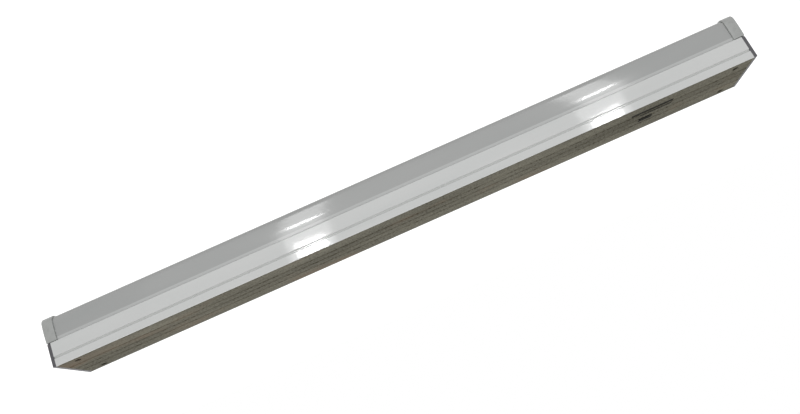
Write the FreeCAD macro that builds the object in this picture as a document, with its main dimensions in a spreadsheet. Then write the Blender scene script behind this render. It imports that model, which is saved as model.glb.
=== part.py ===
import FreeCAD, Part
import math
import os
import Sketcher
from FreeCAD import Placement, Rotation, Vector

# Surface-mounted LED batten, two feet long, in millimetres.
# X runs along the batten, Y across it and Z up to the ceiling. The origin is the middle of the
# back face, which lies against the ceiling, so the body and the diffuser hang below it.
# The plate is fixed first, the body snaps over its flanges, and the diffuser snaps on the body's rails.

SIZES = (
    ("batten_length", 600.0, "over both ends"),
    ("body_width", 56.0, "over the white side walls"),
    ("wall_height", 20.2, "ceiling to the bottom of the white side walls"),
    ("body_sheet", 0.8, "thickness of the body's steel"),
    ("bend_radius", 0.4, "inside radius of the folds"),
    ("ceiling_gap", 0.3, "body edge and end plates clear the ceiling by this"),
    ("groove_level", 7.7, "ceiling to the middle of the snap groove"),
    ("groove_width", 2.6, "mouth of the snap groove"),
    ("groove_flank", 0.7, "run of each sloping side of the groove"),
    ("groove_depth", 0.8, "snap groove, pressed inwards"),
    ("press_round", 0.35, "rounded edges of the pressed groove and beads"),
    ("shelf_width", 3.2, "step of the side wall over the diffuser's foot"),
    ("rail_drop", 2.3, "step to the web that carries the boards"),
    ("rail_undercut", 0.8, "lean of the rail that holds the diffuser's hook"),
    ("plate_sheet", 0.9, "thickness of the mounting plate's steel"),
    ("plate_play", 0.2, "plate flange inside the body wall"),
    ("plate_flange", 12.0, "drop of the plate's side flanges"),
    ("plate_end_play", 0.2, "plate lugs behind the end plate"),
    ("bead_spacing", 10.5, "between the plate's stiffening beads"),
    ("bead_width", 2.6, "mouth of a bead"),
    ("bead_flank", 0.7, "run of each sloping side of a bead"),
    ("bead_depth", 0.6, "bead, pressed inwards"),
    ("lug_width", 10.0, "each end lug of the plate"),
    ("lug_drop", 15.0, "drop of the end lugs"),
    ("fixing_inset", 17.0, "fixing holes from the batten's end"),
    ("fixing_edge", 7.5, "fixing holes from the batten's side"),
    ("fixing_hole", 2.5, "radius of a fixing hole"),
    ("cable_bore", 4.2, "radius of the grommet's bore"),
    ("grommet_wall", 1.4, "rubber between the bore and the hole in the end plate"),
    ("grommet_lip", 2.2, "grommet flange past the hole"),
    ("grommet_lip_thickness", 1.0, "each flange of the grommet"),
    ("recess_play", 0.6, "recess round the grommet's flange"),
    ("recess_depth", 1.1, "recess that keeps the flange level with the end plate"),
    ("rubber_play", 0.05, "grommet groove on the wall it holds"),
    ("diffuser_inset", 0.4, "diffuser at its widest level inside the body's outline"),
    ("diffuser_depth", 41.8, "ceiling to the crown of the diffuser"),
    ("diffuser_wall", 1.5, "thickness of the diffuser"),
    ("diffuser_level", 29.0, "ceiling to the widest level"),
    ("side_radius", 90.0, "bowed sides of the diffuser"),
    ("corner_radius", 5.0, "corners of the diffuser"),
    ("crown_radius", 180.0, "bowed face of the diffuser"),
    ("foot_gap", 0.1, "diffuser foot below the shelf"),
    ("hook_height", 0.7, "snap hook on the diffuser's foot"),
    ("hook_play", 0.1, "hook beside the rail"),
    ("cap_length", 9.0, "skirt of the diffuser's cap"),
    ("cap_wall", 1.1, "thickness of the skirt"),
    ("cap_end", 2.0, "thickness of the cap's end wall"),
    ("cap_play", 0.15, "skirt round the diffuser"),
    ("cap_edge", 0.5, "rounded edge of the cap"),
    ("diffuser_end_play", 0.2, "diffuser end inside the cap"),
    ("end_plate_thickness", 3.0, "moulded plate on each end of the body"),
    ("end_plate_inset", 0.2, "end plate inside the body's outline"),
    ("end_plate_corner", 1.2, "lower corners of the end plate"),
    ("end_plate_edge", 0.5, "rounded edge of the end plate"),
    ("rim_depth", 6.0, "rim that reaches into the body"),
    ("rim_wall", 1.5, "thickness of the rim"),
    ("rim_play", 0.3, "rim inside the folds"),
    ("rim_top", 3.0, "ceiling to the top of the rim"),
    ("knockout_groove", 1.0, "width of the thin ring round the cable knock-out"),
    ("knockout_depth", 1.3, "depth of that ring below the recess"),
    ("end_screw_spread", 30.0, "between the two screws of an end plate"),
    ("end_screw_level", 9.5, "ceiling to the screws and the cable entry of an end plate"),
    ("end_screw_reach", 8.0, "length of an end plate screw"),
    ("screw_radius", 1.5, "thread of every small screw"),
    ("screw_head", 2.8, "radius of a screw head"),
    ("screw_head_height", 1.8, "height of a screw head"),
    ("screw_play", 0.1, "hole round a screw"),
    ("head_play", 0.3, "recess round a screw head"),
    ("board_end", 14.0, "LED boards short of the batten's ends"),
    ("board_width", 18.0, "LED board"),
    ("board_thickness", 1.0, "LED board"),
    ("board_gap", 4.0, "between the two boards"),
    ("board_screw_margin", 12.0, "first and last board screw from the board's end"),
    ("board_screw_offset", 5.5, "board screws beside the row of LEDs"),
    ("board_screw_tip", 1.0, "board screw past the web"),
    ("chip_length", 3.5, "LED package across the batten"),
    ("chip_width", 2.8, "LED package along the batten"),
    ("chip_height", 0.8, "LED package"),
    ("chip_margin", 8.6, "first and last LED package from the board's end"),
    ("chip_count", 24, "LED packages on a board"),
    ("connector_length", 7.0, "lead connector along the batten"),
    ("connector_width", 6.0, "lead connector across the batten"),
    ("connector_height", 3.4, "lead connector"),
    ("connector_offset", 5.4, "connector and bridge beside the row of LEDs"),
    ("connector_port", 3.0, "depth of a lead's hole in the connector"),
    ("link_length", 18.0, "bridge between the boards"),
    ("driver_place", -114.0, "middle of the driver"),
    ("driver_length", 124.0, "driver case"),
    ("driver_width", 34.0, "driver case"),
    ("driver_height", 13.0, "driver case without its cover"),
    ("driver_wall", 1.2, "driver case and cover"),
    ("driver_stand", 1.6, "driver case above the web"),
    ("driver_lip", 1.5, "lip of the cover inside the case"),
    ("driver_play", 0.2, "cover lip and circuit board inside the case"),
    ("ear_length", 9.0, "fixing ear past the case"),
    ("ear_width", 9.0, "fixing ear"),
    ("ear_offset", 12.4, "fixing ear beside the LED boards"),
    ("ear_overlap", 4.0, "fixing ear under the case"),
    ("circuit_thickness", 1.6, "driver's circuit board"),
    ("boss_height", 1.5, "bosses under the circuit board"),
    ("boss_radius", 2.0, "bosses under the circuit board"),
    ("boss_inset", 8.0, "bosses from the ends of the case"),
    ("part_play", 0.4, "driver's components below the cover lip"),
    ("transformer_length", 17.0, "along the batten"),
    ("transformer_width", 15.0, "across the batten"),
    ("bobbin_length", 11.0, "winding between the transformer's cores"),
    ("bobbin_width", 19.0, "winding between the transformer's cores"),
    ("capacitor_radius", 4.0, "smoothing capacitors"),
    ("capacitor_spacing", 9.0, "between the two capacitors"),
    ("capacitor_place", 34.0, "capacitors from the middle of the driver"),
    ("choke_radius", 5.0, "middle of the choke's ring"),
    ("choke_section", 2.2, "radius of the choke's ring section"),
    ("choke_place", -32.0, "choke from the middle of the driver"),
    ("terminal_place", 40.0, "middle of the terminal block"),
    ("terminal_width", 18.0, "terminal block along the batten"),
    ("terminal_clear", 6.0, "fixing feet of the terminal block inside the body's outline"),
    ("terminal_height", 14.0, "terminal block"),
    ("terminal_step", 1.5, "step on each side of the terminal block"),
    ("terminal_foot", 6.0, "fixing foot of the terminal block"),
    ("terminal_foot_width", 10.0, "fixing foot along the batten"),
    ("terminal_foot_height", 1.8, "fixing foot"),
    ("pole_pitch", 10.0, "between the poles"),
    ("pole_bore", 2.0, "radius of the hole for a core"),
    ("well_radius", 2.2, "well over a terminal screw"),
    ("well_spread", 9.0, "between the two screws of a pole"),
    ("terminal_screw", 1.8, "radius of a terminal screw"),
    ("terminal_screw_length", 4.0, "terminal screw"),
    ("clamp_play", 0.1, "screw tip above the lead"),
    ("earth_place", 4.0, "earth stud from the middle of the batten"),
    ("earth_clear", 11.0, "earth stud inside the body's outline"),
    ("stud_radius", 2.0, "earth stud"),
    ("stud_reach", 9.0, "earth stud above the web"),
    ("stud_head", 3.4, "radius of the stud's riveted head"),
    ("stud_head_height", 0.6, "riveted head below the web"),
    ("tag_thickness", 0.8, "ring tag"),
    ("tag_radius", 4.0, "ring of the tag"),
    ("tag_barrel", 6.0, "crimped barrel of the tag"),
    ("barrel_wall", 0.6, "crimped barrel of the tag"),
    ("nut_radius", 4.0, "earth nut over its corners"),
    ("nut_height", 3.2, "earth nut"),
    ("lead_radius", 0.9, "mains leads over their insulation"),
    ("lead_spread", 8.0, "between the leads at the driver"),
    ("lead_bend", 5.0, "bends of the mains leads"),
    ("lead_inside", 5.0, "lead end past the wall it goes through"),
    ("lead_play", 0.35, "hole round a lead"),
    ("lead_rise", 0.1, "lead above the driver's circuit board"),
    ("output_radius", 0.7, "output leads over their insulation"),
    ("output_bend", 2.1, "bends of the output leads"),
    ("output_pitch", 1.8, "between the output leads"),
    ("bush_offset", 36.0, "output bush past the end of the driver"),
    ("bush_side", 14.0, "output bush beside the LED board"),
    ("bush_bore", 2.1, "radius of the output bush's bore"),
    ("bush_wall", 0.9, "output bush inside the hole"),
    ("bush_lip", 1.2, "output bush flange past the hole"),
    ("bush_lip_thickness", 0.8, "each flange of the output bush"),
)

document = FreeCAD.newDocument("led_batten")
sheet = document.addObject("Spreadsheet::Sheet", "Sizes")
for row, (alias, number, note) in enumerate(SIZES, start=1):
    sheet.set(f"A{row}", note)
    sheet.set(f"B{row}", str(number))
    sheet.setAlias(f"B{row}", alias)
document.recompute()


class Length:
    """A length with its number and the sheet expression that gives it."""

    def __init__(self, value, text):
        self.value = value
        self.text = text

    def __add__(self, other):
        other = as_length(other)
        return Length(self.value + other.value, f"({self.text} + {other.text})")

    def __sub__(self, other):
        other = as_length(other)
        return Length(self.value - other.value, f"({self.text} - {other.text})")

    def __mul__(self, factor):
        factor = as_length(factor)
        return Length(self.value * factor.value, f"({self.text} * {factor.text})")

    def __truediv__(self, divisor):
        divisor = as_length(divisor)
        return Length(self.value / divisor.value, f"({self.text} / {divisor.text})")

    def __neg__(self):
        return Length(-self.value, f"(0 - {self.text})")

    def __radd__(self, other):
        return as_length(other) + self

    def __rmul__(self, factor):
        return self * factor


def as_length(amount):
    """A plain number as a Length; a Length stays as it is."""
    if isinstance(amount, Length):
        return amount
    return Length(float(amount), f"({float(amount)})")


class SheetSizes:
    """Gives each aliased cell of the sheet as a Length."""

    def __getattr__(self, alias):
        return Length(float(sheet.get(alias)), f"Sizes.{alias}")


mm = SheetSizes()
ZERO = as_length(0)

# Levels and half widths that several pieces share.
half_length = mm.batten_length / 2
half_width = mm.body_width / 2
body_end = half_length - mm.end_plate_thickness
wall_inside = half_width - mm.body_sheet
shelf_level = -mm.wall_height
web_below = shelf_level - mm.rail_drop
web_above = web_below + mm.body_sheet
rail_side = half_width - mm.shelf_width
groove_top = mm.groove_width / 2 - mm.groove_level
groove_bottom = -mm.groove_level - mm.groove_width / 2
plate_side = wall_inside - mm.plate_play
plate_end = body_end - mm.plate_end_play
foot_level = shelf_level - mm.foot_gap
screw_hole = mm.screw_radius + mm.screw_play
board_below = web_below - mm.board_thickness
board_length = half_length - mm.board_end - mm.board_gap / 2
terminal_side = half_width - mm.terminal_clear - mm.terminal_foot
earth_side = half_width - mm.earth_clear
fixing_along = half_length - mm.fixing_inset
fixing_across = half_width - mm.fixing_edge
cable_hole = mm.cable_bore + mm.grommet_wall
cable_recess = cable_hole + mm.grommet_lip + mm.recess_play

# The driver's floor and circuit board, and the level at which every lead leaves it.
driver_floor = web_above + mm.driver_stand
driver_top = driver_floor + mm.driver_height
circuit_below = driver_floor + mm.driver_wall + mm.boss_height
circuit_above = circuit_below + mm.circuit_thickness
part_height = driver_top - mm.driver_lip - mm.part_play - circuit_above
lead_level = circuit_above + mm.lead_radius + mm.lead_rise
driver_right = mm.driver_place + mm.driver_length / 2
driver_left = mm.driver_place - mm.driver_length / 2
bush_place = driver_left - mm.bush_offset
bush_hole = mm.bush_bore + mm.bush_wall
output_port = board_below - mm.connector_height / 2
terminal_top = web_above + mm.terminal_height


def bind(feature, name, amount):
    """Tie a property of a feature to the sheet."""
    feature.setExpression(name, as_length(amount).text)


def new_body(label, half_turn=False):
    """An empty body; a half turn about Z makes the like piece at the other end."""
    body = document.addObject("PartDesign::Body", label)
    body.Label = label
    body.Placement = Placement(Vector(), Rotation(Vector(0, 0, 1), 180 if half_turn else 0))
    return body


def origin_feature(body, role):
    """One of a body's own base planes or axes."""
    return next(feature for feature in body.Origin.OriginFeatures if feature.Role == role)


def new_sketch(body, name, plane, offset=ZERO):
    """A sketch on one of the body's base planes, moved along the plane's normal."""
    sketch = body.newObject("Sketcher::SketchObject", f"{body.Name}_{name}")
    sketch.AttachmentSupport = [(origin_feature(body, plane), "")]
    sketch.MapMode = "FlatFace"
    bind(sketch, "AttachmentOffset.Base.z", offset)
    return sketch


def pad(body, sketch, length, both_ways=False, reverse=False):
    """Material along the sketch's normal, or against it."""
    feature = body.newObject("PartDesign::Pad", f"{sketch.Name}_pad")
    feature.Profile = sketch
    feature.SideType = "Symmetric" if both_ways else "One side"
    feature.Reversed = reverse
    bind(feature, "Length", length)
    sketch.Visibility = False
    return feature


def pocket(body, sketch, depth=None, reverse=False):
    """A cut against the sketch's normal (along it when reversed), or right through both ways."""
    feature = body.newObject("PartDesign::Pocket", f"{sketch.Name}_pocket")
    feature.Profile = sketch
    feature.Reversed = reverse
    if depth is None:
        feature.SideType = "Symmetric"
        feature.Type = "ThroughAll"
    else:
        bind(feature, "Length", depth)
    sketch.Visibility = False
    return feature


def hold(sketch, kind, geometry, place, amount):
    """Hold one coordinate of a point at a bound distance from the sketch's origin."""
    if abs(amount.value) < 1e-9:
        axis = -2 if kind == "DistanceX" else -1
        sketch.addConstraint(Sketcher.Constraint("PointOnObject", geometry, place, axis))
        return
    index = sketch.addConstraint(Sketcher.Constraint(kind, -1, 1, geometry, place, amount.value))
    bind(sketch, f"Constraints[{index}]", amount)


def hold_point(sketch, geometry, place, point):
    """Hold both coordinates of a point."""
    hold(sketch, "DistanceX", geometry, place, as_length(point[0]))
    hold(sketch, "DistanceY", geometry, place, as_length(point[1]))


def hold_radius(sketch, geometry, radius):
    """Bind the radius of an arc or a circle."""
    index = sketch.addConstraint(Sketcher.Constraint("Radius", geometry, radius.value))
    bind(sketch, f"Constraints[{index}]", radius)


def vector(point):
    """A sketch point as a vector of plain numbers."""
    return Vector(as_length(point[0]).value, as_length(point[1]).value, 0)


def add_arc(sketch, centre, radius, start, end):
    """An arc that runs counter-clockwise from one point to another."""
    first = math.atan2(start.y - centre.y, start.x - centre.x)
    last = math.atan2(end.y - centre.y, end.x - centre.x)
    if last <= first:
        last += 2 * math.pi
    circle = Part.Circle(centre, Vector(0, 0, 1), radius)
    return sketch.addGeometry(Part.ArcOfCircle(circle, first, last))


def step_from(corner, neighbour, step):
    """The point one step from a corner along the square run to its neighbour."""
    run = vector(neighbour) - vector(corner)
    if abs(run.x) > abs(run.y):
        return (corner[0] + step * math.copysign(1, run.x), corner[1])
    return (corner[0], corner[1] + step * math.copysign(1, run.y))


def draw_outline(sketch, corners):
    """A closed outline of straight runs, with a round corner where a corner states a radius."""
    entries = []
    exits = []
    for index, corner in enumerate(corners):
        radius = corner[2] if len(corner) > 2 else None
        following = corners[(index + 1) % len(corners)]
        entries.append(step_from(corner, corners[index - 1], radius) if radius else corner[:2])
        exits.append(step_from(corner, following, radius) if radius else corner[:2])
    runs = []
    for index, start in enumerate(exits):
        end = entries[(index + 1) % len(entries)]
        runs.append(sketch.addGeometry(Part.LineSegment(vector(start), vector(end))))
    for index, corner in enumerate(corners):
        before = runs[index - 1]
        after = runs[index]
        hold_point(sketch, after, 1, exits[index])
        if len(corner) < 3:
            sketch.addConstraint(Sketcher.Constraint("Coincident", before, 2, after, 1))
            continue
        hold_point(sketch, before, 2, entries[index])
        entry = vector(entries[index])
        leave = vector(exits[index])
        centre = entry + leave - vector(corner)
        turns_left = (vector(corner) - entry).cross(leave - vector(corner)).z > 0
        first = (before, 2) if turns_left else (after, 1)
        last = (after, 1) if turns_left else (before, 2)
        ends = (entry, leave) if turns_left else (leave, entry)
        arc = add_arc(sketch, centre, corner[2].value, *ends)
        sketch.addConstraint(Sketcher.Constraint("Coincident", arc, 1, *first))
        sketch.addConstraint(Sketcher.Constraint("Coincident", arc, 2, *last))
        hold_radius(sketch, arc, corner[2])


def draw_rectangle(sketch, middle, length, width):
    """A rectangle about its middle point."""
    x = as_length(middle[0])
    y = as_length(middle[1])
    left, right = x - length / 2, x + length / 2
    low, high = y - width / 2, y + width / 2
    draw_outline(sketch, [(left, low), (right, low), (right, high), (left, high)])


def draw_circles(sketch, places, radius):
    """A circle at each place."""
    for place in places:
        circle = sketch.addGeometry(Part.Circle(vector(place), Vector(0, 0, 1), radius.value))
        hold_point(sketch, circle, 3, place)
        hold_radius(sketch, circle, radius)


def drill(body, name, places, radius):
    """Round holes right through the body along Z."""
    sketch = new_sketch(body, name, "XY_Plane")
    draw_circles(sketch, places, radius)
    pocket(body, sketch)


def round_edges(body, base, radius, chosen):
    """Round the edges of a feature that lie where the chosen test says."""
    document.recompute()
    names = [f"Edge{index}" for index, edge in enumerate(base.Shape.Edges, start=1) if chosen(edge)]
    feature = body.newObject("PartDesign::Fillet", f"{body.Name}_edges")
    feature.Base = (base, names)
    bind(feature, "Radius", radius)
    return feature


def flipped(points):
    """The same points on the other side of the batten's middle plane."""
    return [(-point[0], *point[1:]) for point in points]


def section_loop(outer, inner):
    """A whole folded section from the right half of its outer and inner faces."""
    return outer + flipped(outer)[::-1] + flipped(inner) + inner[::-1]


def snap_groove(side):
    """The four points of the snap groove on a wall face, from the top down."""
    floor = side - mm.groove_depth
    return [
        (side, groove_top),
        (floor, groove_top - mm.groove_flank),
        (floor, groove_bottom + mm.groove_flank),
        (side, groove_bottom),
    ]


def on_groove(edge):
    """True for the long edges of a snap groove."""
    box = edge.BoundBox
    level = groove_bottom.value - 1e-6 < box.ZMin < groove_top.value + 1e-6
    return box.XLength > half_length.value and level


# Mounting plate: folded zinc-coated steel with a snap groove in each flange, three stiffening beads,
# a fixing hole near each corner and two lugs at each end for the end plate's screws.
def plate_bead(middle, face):
    """The points of one bead about its middle line, on the outer or the inner face of the plate."""
    edge = mm.bead_width / 2
    floor = face - mm.bead_depth
    return [
        (middle + edge, face),
        (middle + edge - mm.bead_flank, floor),
        (middle - edge + mm.bead_flank, floor),
        (middle - edge, face),
    ]


def plate_side_face(side, top, corner):
    """One face of the flange and the web, from the flange's edge to half of the middle bead."""
    wall = [(side, -mm.plate_flange)] + snap_groove(side)[::-1]
    return wall + [(side, top, corner)] + plate_bead(mm.bead_spacing, top) + plate_bead(ZERO, top)[:2]


def on_bead(edge):
    """True for the long edges of a bead on either face of the plate."""
    box = edge.BoundBox
    level = -(mm.plate_sheet + mm.bead_depth).value
    beside = any(abs(abs(box.YMin) - line) < mm.bead_width.value for line in (0, mm.bead_spacing.value))
    return box.XLength > half_length.value and box.ZMin > level - 1e-6 and beside


def mounting_plate():
    body = new_body("mounting_plate")
    section = new_sketch(body, "section", "YZ_Plane")
    inside = plate_side - mm.plate_sheet
    outer = plate_side_face(plate_side, ZERO, mm.bend_radius + mm.plate_sheet)
    inner = plate_side_face(inside, -mm.plate_sheet, mm.bend_radius)
    draw_outline(section, section_loop(outer, inner))
    strip = pad(body, section, plate_end * 2, both_ways=True)
    round_edges(body, strip, mm.press_round, lambda edge: on_groove(edge) or on_bead(edge))

    for name, sign in (("right", 1), ("left", -1)):
        lugs = new_sketch(body, f"lugs_{name}", "XY_Plane")
        end = (plate_end - mm.plate_sheet / 2) * sign
        for across, _ in end_screw_places():
            draw_rectangle(lugs, (end, across), mm.plate_sheet, mm.lug_width)
        pad(body, lugs, mm.lug_drop, reverse=True)

    corners = [(fixing_along * i, fixing_across * j) for i in (1, -1) for j in (1, -1)]
    drill(body, "fixing_holes", corners, mm.fixing_hole)
    screws = new_sketch(body, "lug_holes", "YZ_Plane")
    draw_circles(screws, end_screw_places(), screw_hole)
    pocket(body, screws)
    return body


def end_screw_places():
    """Across and up, the two screws of an end plate."""
    spread = mm.end_screw_spread / 2
    return [(spread, -mm.end_screw_level), (-spread, -mm.end_screw_level)]


# Body: one roll-formed white steel channel. Each side wall has the snap groove, steps in over the
# diffuser's foot and leans out again as the rail, and the web between the rails carries everything.
def body_faces():
    """Right half of the body's outer and inner faces, from the top edge down to the web."""
    sheet_step = mm.body_sheet
    lean = mm.rail_undercut / mm.rail_drop * sheet_step
    outer = [(half_width, -mm.ceiling_gap)] + snap_groove(half_width)
    outer += [
        (half_width, shelf_level, mm.bend_radius + sheet_step),
        (rail_side, shelf_level),
        (rail_side + mm.rail_undercut, web_below),
    ]
    inner = [(wall_inside, -mm.ceiling_gap)] + snap_groove(wall_inside)
    inner += [
        (wall_inside, shelf_level + sheet_step, mm.bend_radius),
        (rail_side - sheet_step - lean, shelf_level + sheet_step),
        (rail_side + mm.rail_undercut - sheet_step - lean, web_above),
    ]
    return outer, inner


def board_screw_places(side):
    """Three screws along one board; side is 1 for the right board and -1 for the left one."""
    first = mm.board_gap / 2 + mm.board_screw_margin
    last = mm.board_gap / 2 + board_length - mm.board_screw_margin
    return [(place * side, mm.board_screw_offset) for place in (first, (first + last) / 2, last)]


def driver_screw_places():
    """One screw in each ear of the driver."""
    right = driver_right + mm.ear_length / 2
    left = driver_left - mm.ear_length / 2
    return [(right, mm.ear_offset), (left, -mm.ear_offset)]


def terminal_foot_places():
    """The middle of each foot of the terminal block."""
    across = terminal_side + mm.terminal_foot / 2
    return [(mm.terminal_place, across), (mm.terminal_place, -across)]


def body_channel():
    body = new_body("body_channel")
    section = new_sketch(body, "section", "YZ_Plane")
    draw_outline(section, section_loop(*body_faces()))
    strip = pad(body, section, body_end * 2, both_ways=True)
    round_edges(body, strip, mm.press_round, on_groove)
    screws = board_screw_places(1) + board_screw_places(-1) + driver_screw_places() + terminal_foot_places()
    drill(body, "screw_holes", screws, screw_hole)
    drill(body, "stud_hole", [(mm.earth_place, -earth_side)], mm.stud_radius + mm.screw_play)
    drill(body, "bush_hole", [(bush_place, mm.bush_side)], bush_hole)
    return body


# Diffuser and its caps: one extruded section of five tangent arcs, drawn again further out for the caps.
def dome_centres(outset):
    """Radius and centre of the side, corner and crown arcs of the right half."""
    side = mm.side_radius + outset
    corner = mm.corner_radius + outset
    crown = mm.crown_radius + outset
    side_centre = (half_width - mm.diffuser_inset + outset - side, -mm.diffuser_level)
    crown_centre = (ZERO, crown - mm.diffuser_depth - outset)
    return (side, side_centre), corner, (crown, crown_centre)


def tangent_corner(side, corner, crown):
    """Centre of the corner arc that lies inside both the side's and the crown's circle."""
    first = vector(side[1])
    second = vector(crown[1])
    reach_first = side[0].value - corner.value
    reach_second = crown[0].value - corner.value
    apart = second - first
    along = (reach_first**2 - reach_second**2 + apart.Length**2) / (2 * apart.Length)
    beside = math.sqrt(reach_first**2 - along**2)
    direction = apart / apart.Length
    return first + direction * along + Vector(direction.y, -direction.x, 0) * beside


def draw_dome(sketch, outset, foot):
    """The diffuser's outline moved outwards, closed by a straight line at the foot level."""
    (side, side_centre), corner, (crown, crown_centre) = dome_centres(outset)
    right = vector(side_centre)
    top = vector(crown_centre)
    bend = tangent_corner((side, side_centre), corner, (crown, crown_centre))
    side_point = right + (bend - right).normalize() * side.value
    crown_point = top + (bend - top).normalize() * crown.value
    rise = foot.value - right.y
    foot_point = Vector(right.x + math.sqrt(side.value**2 - rise**2), foot.value, 0)

    def mirror(point):
        return Vector(-point.x, point.y, 0)

    arcs = [
        add_arc(sketch, right, side.value, side_point, foot_point),
        add_arc(sketch, bend, corner.value, crown_point, side_point),
        add_arc(sketch, top, crown.value, mirror(crown_point), crown_point),
        add_arc(sketch, mirror(bend), corner.value, mirror(side_point), mirror(crown_point)),
        add_arc(sketch, mirror(right), side.value, mirror(foot_point), mirror(side_point)),
    ]
    line = sketch.addGeometry(Part.LineSegment(foot_point, mirror(foot_point)))
    for later, earlier in zip(arcs[1:], arcs):
        sketch.addConstraint(Sketcher.Constraint("Tangent", later, 2, earlier, 1))
    sketch.addConstraint(Sketcher.Constraint("Coincident", line, 1, arcs[0], 2))
    sketch.addConstraint(Sketcher.Constraint("Coincident", line, 2, arcs[4], 1))
    for arc, radius in zip(arcs, (side, corner, crown, corner, side)):
        hold_radius(sketch, arc, radius)
    hold_point(sketch, arcs[0], 3, side_centre)
    hold_point(sketch, arcs[4], 3, (-side_centre[0], side_centre[1]))
    hold_point(sketch, arcs[2], 3, crown_centre)
    hold(sketch, "DistanceY", line, 1, foot)
    hold(sketch, "DistanceY", line, 2, foot)


def diffuser():
    body = new_body("diffuser")
    length = (half_length - mm.cap_end - mm.diffuser_end_play) * 2
    outside = new_sketch(body, "outside", "YZ_Plane")
    draw_dome(outside, ZERO, foot_level)
    pad(body, outside, length, both_ways=True)
    inside = new_sketch(body, "inside", "YZ_Plane")
    hook_top = foot_level - mm.hook_height
    draw_dome(inside, -mm.diffuser_wall, hook_top)
    pocket(body, inside)
    lean = mm.rail_undercut * ((mm.foot_gap + mm.hook_height) / mm.rail_drop)
    hook_tip = rail_side + lean + mm.hook_play
    mouth = new_sketch(body, "mouth", "YZ_Plane")
    draw_rectangle(mouth, (ZERO, foot_level), hook_tip * 2, mm.hook_height * 4)
    pocket(body, mouth)
    return body


def diffuser_cap(label, half_turn):
    body = new_body(label, half_turn)
    outset = mm.cap_play + mm.cap_wall
    skirt_start = half_length - mm.cap_length
    outside = new_sketch(body, "outside", "YZ_Plane", skirt_start)
    draw_dome(outside, outset, foot_level)
    block = pad(body, outside, mm.cap_length)
    end = half_length.value

    def on_end_face(edge):
        box = edge.BoundBox
        return box.XMin > end - 1e-6 and box.ZMin < foot_level.value - 1e-6

    round_edges(body, block, mm.cap_edge, on_end_face)
    socket = new_sketch(body, "socket", "YZ_Plane", skirt_start)
    draw_dome(socket, mm.cap_play, foot_level + mm.cap_wall)
    pocket(body, socket, mm.cap_length - mm.cap_end, reverse=True)
    return body


# End plates: dark moulded plates with a rim that reaches into the body and two sunk screws. Each has a
# recessed cable knock-out, which is broken out of the right one to take the grommet.
def end_plate(label, half_turn, broken_out):
    body = new_body(label, half_turn)
    side = half_width - mm.end_plate_inset
    bottom = shelf_level + mm.end_plate_inset
    top = -mm.ceiling_gap
    flange = new_sketch(body, "flange", "YZ_Plane", body_end)
    corner = mm.end_plate_corner
    draw_outline(flange, [(side, top), (-side, top), (-side, bottom, corner), (side, bottom, corner)])
    slab = pad(body, flange, mm.end_plate_thickness)
    round_edges(body, slab, mm.end_plate_edge, lambda edge: edge.BoundBox.XMin > body_end.value + 1e-6)

    outside = plate_side - mm.groove_depth - mm.plate_sheet - mm.rim_play
    inside = outside - mm.rim_wall
    low = shelf_level + mm.body_sheet + mm.rim_play
    rim = new_sketch(body, "rim", "YZ_Plane", body_end)
    draw_outline(
        rim,
        [
            (outside, -mm.rim_top),
            (inside, -mm.rim_top),
            (inside, low + mm.rim_wall),
            (-inside, low + mm.rim_wall),
            (-inside, -mm.rim_top),
            (-outside, -mm.rim_top),
            (-outside, low),
            (outside, low),
        ],
    )
    pad(body, rim, mm.rim_depth, reverse=True)

    middle = [(ZERO, -mm.end_screw_level)]
    recess = new_sketch(body, "recess", "YZ_Plane", half_length)
    draw_circles(recess, middle, cable_recess)
    pocket(body, recess, mm.recess_depth)
    knockout = new_sketch(body, "knockout", "YZ_Plane", half_length - mm.recess_depth)
    draw_circles(knockout, middle, cable_hole)
    if broken_out:
        pocket(body, knockout)
    else:
        draw_circles(knockout, middle, cable_hole - mm.knockout_groove)
        pocket(body, knockout, mm.knockout_depth)
    heads = new_sketch(body, "screw_heads", "YZ_Plane", half_length)
    draw_circles(heads, end_screw_places(), mm.screw_head + mm.head_play)
    pocket(body, heads, mm.screw_head_height)
    holes = new_sketch(body, "screw_holes", "YZ_Plane")
    draw_circles(holes, end_screw_places(), screw_hole)
    pocket(body, holes)
    return body


def screw_group(label, plane, places, seat, reach, heads_up):
    """Pan-head screws; heads stand on the seat, on the far side of it from the threads."""
    body = new_body(label)
    threads = new_sketch(body, "threads", plane, seat)
    draw_circles(threads, places, mm.screw_radius)
    pad(body, threads, reach, reverse=heads_up)
    heads = new_sketch(body, "heads", plane, seat)
    draw_circles(heads, places, mm.screw_head)
    pad(body, heads, mm.screw_head_height, reverse=not heads_up)
    return body


def end_plate_screws():
    body = new_body("end_plate_screws")
    seat = half_length - mm.screw_head_height
    for name, sign, reverse in (("right", 1, False), ("left", -1, True)):
        threads = new_sketch(body, f"threads_{name}", "YZ_Plane", seat * sign)
        draw_circles(threads, end_screw_places(), mm.screw_radius)
        pad(body, threads, mm.end_screw_reach, reverse=not reverse)
        heads = new_sketch(body, f"heads_{name}", "YZ_Plane", seat * sign)
        draw_circles(heads, end_screw_places(), mm.screw_head)
        pad(body, heads, mm.screw_head_height, reverse=reverse)
    return body


# LED boards below the web: two aluminium boards end to end, each with a row of LED packages.
def led_board(label, side):
    body = new_body(label)
    outline = new_sketch(body, "outline", "XY_Plane", web_below)
    middle = (mm.board_gap / 2 + board_length / 2) * side
    draw_rectangle(outline, (middle, ZERO), board_length, mm.board_width)
    pad(body, outline, mm.board_thickness, reverse=True)
    drill(body, "screw_holes", board_screw_places(side), screw_hole)
    return body


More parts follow.
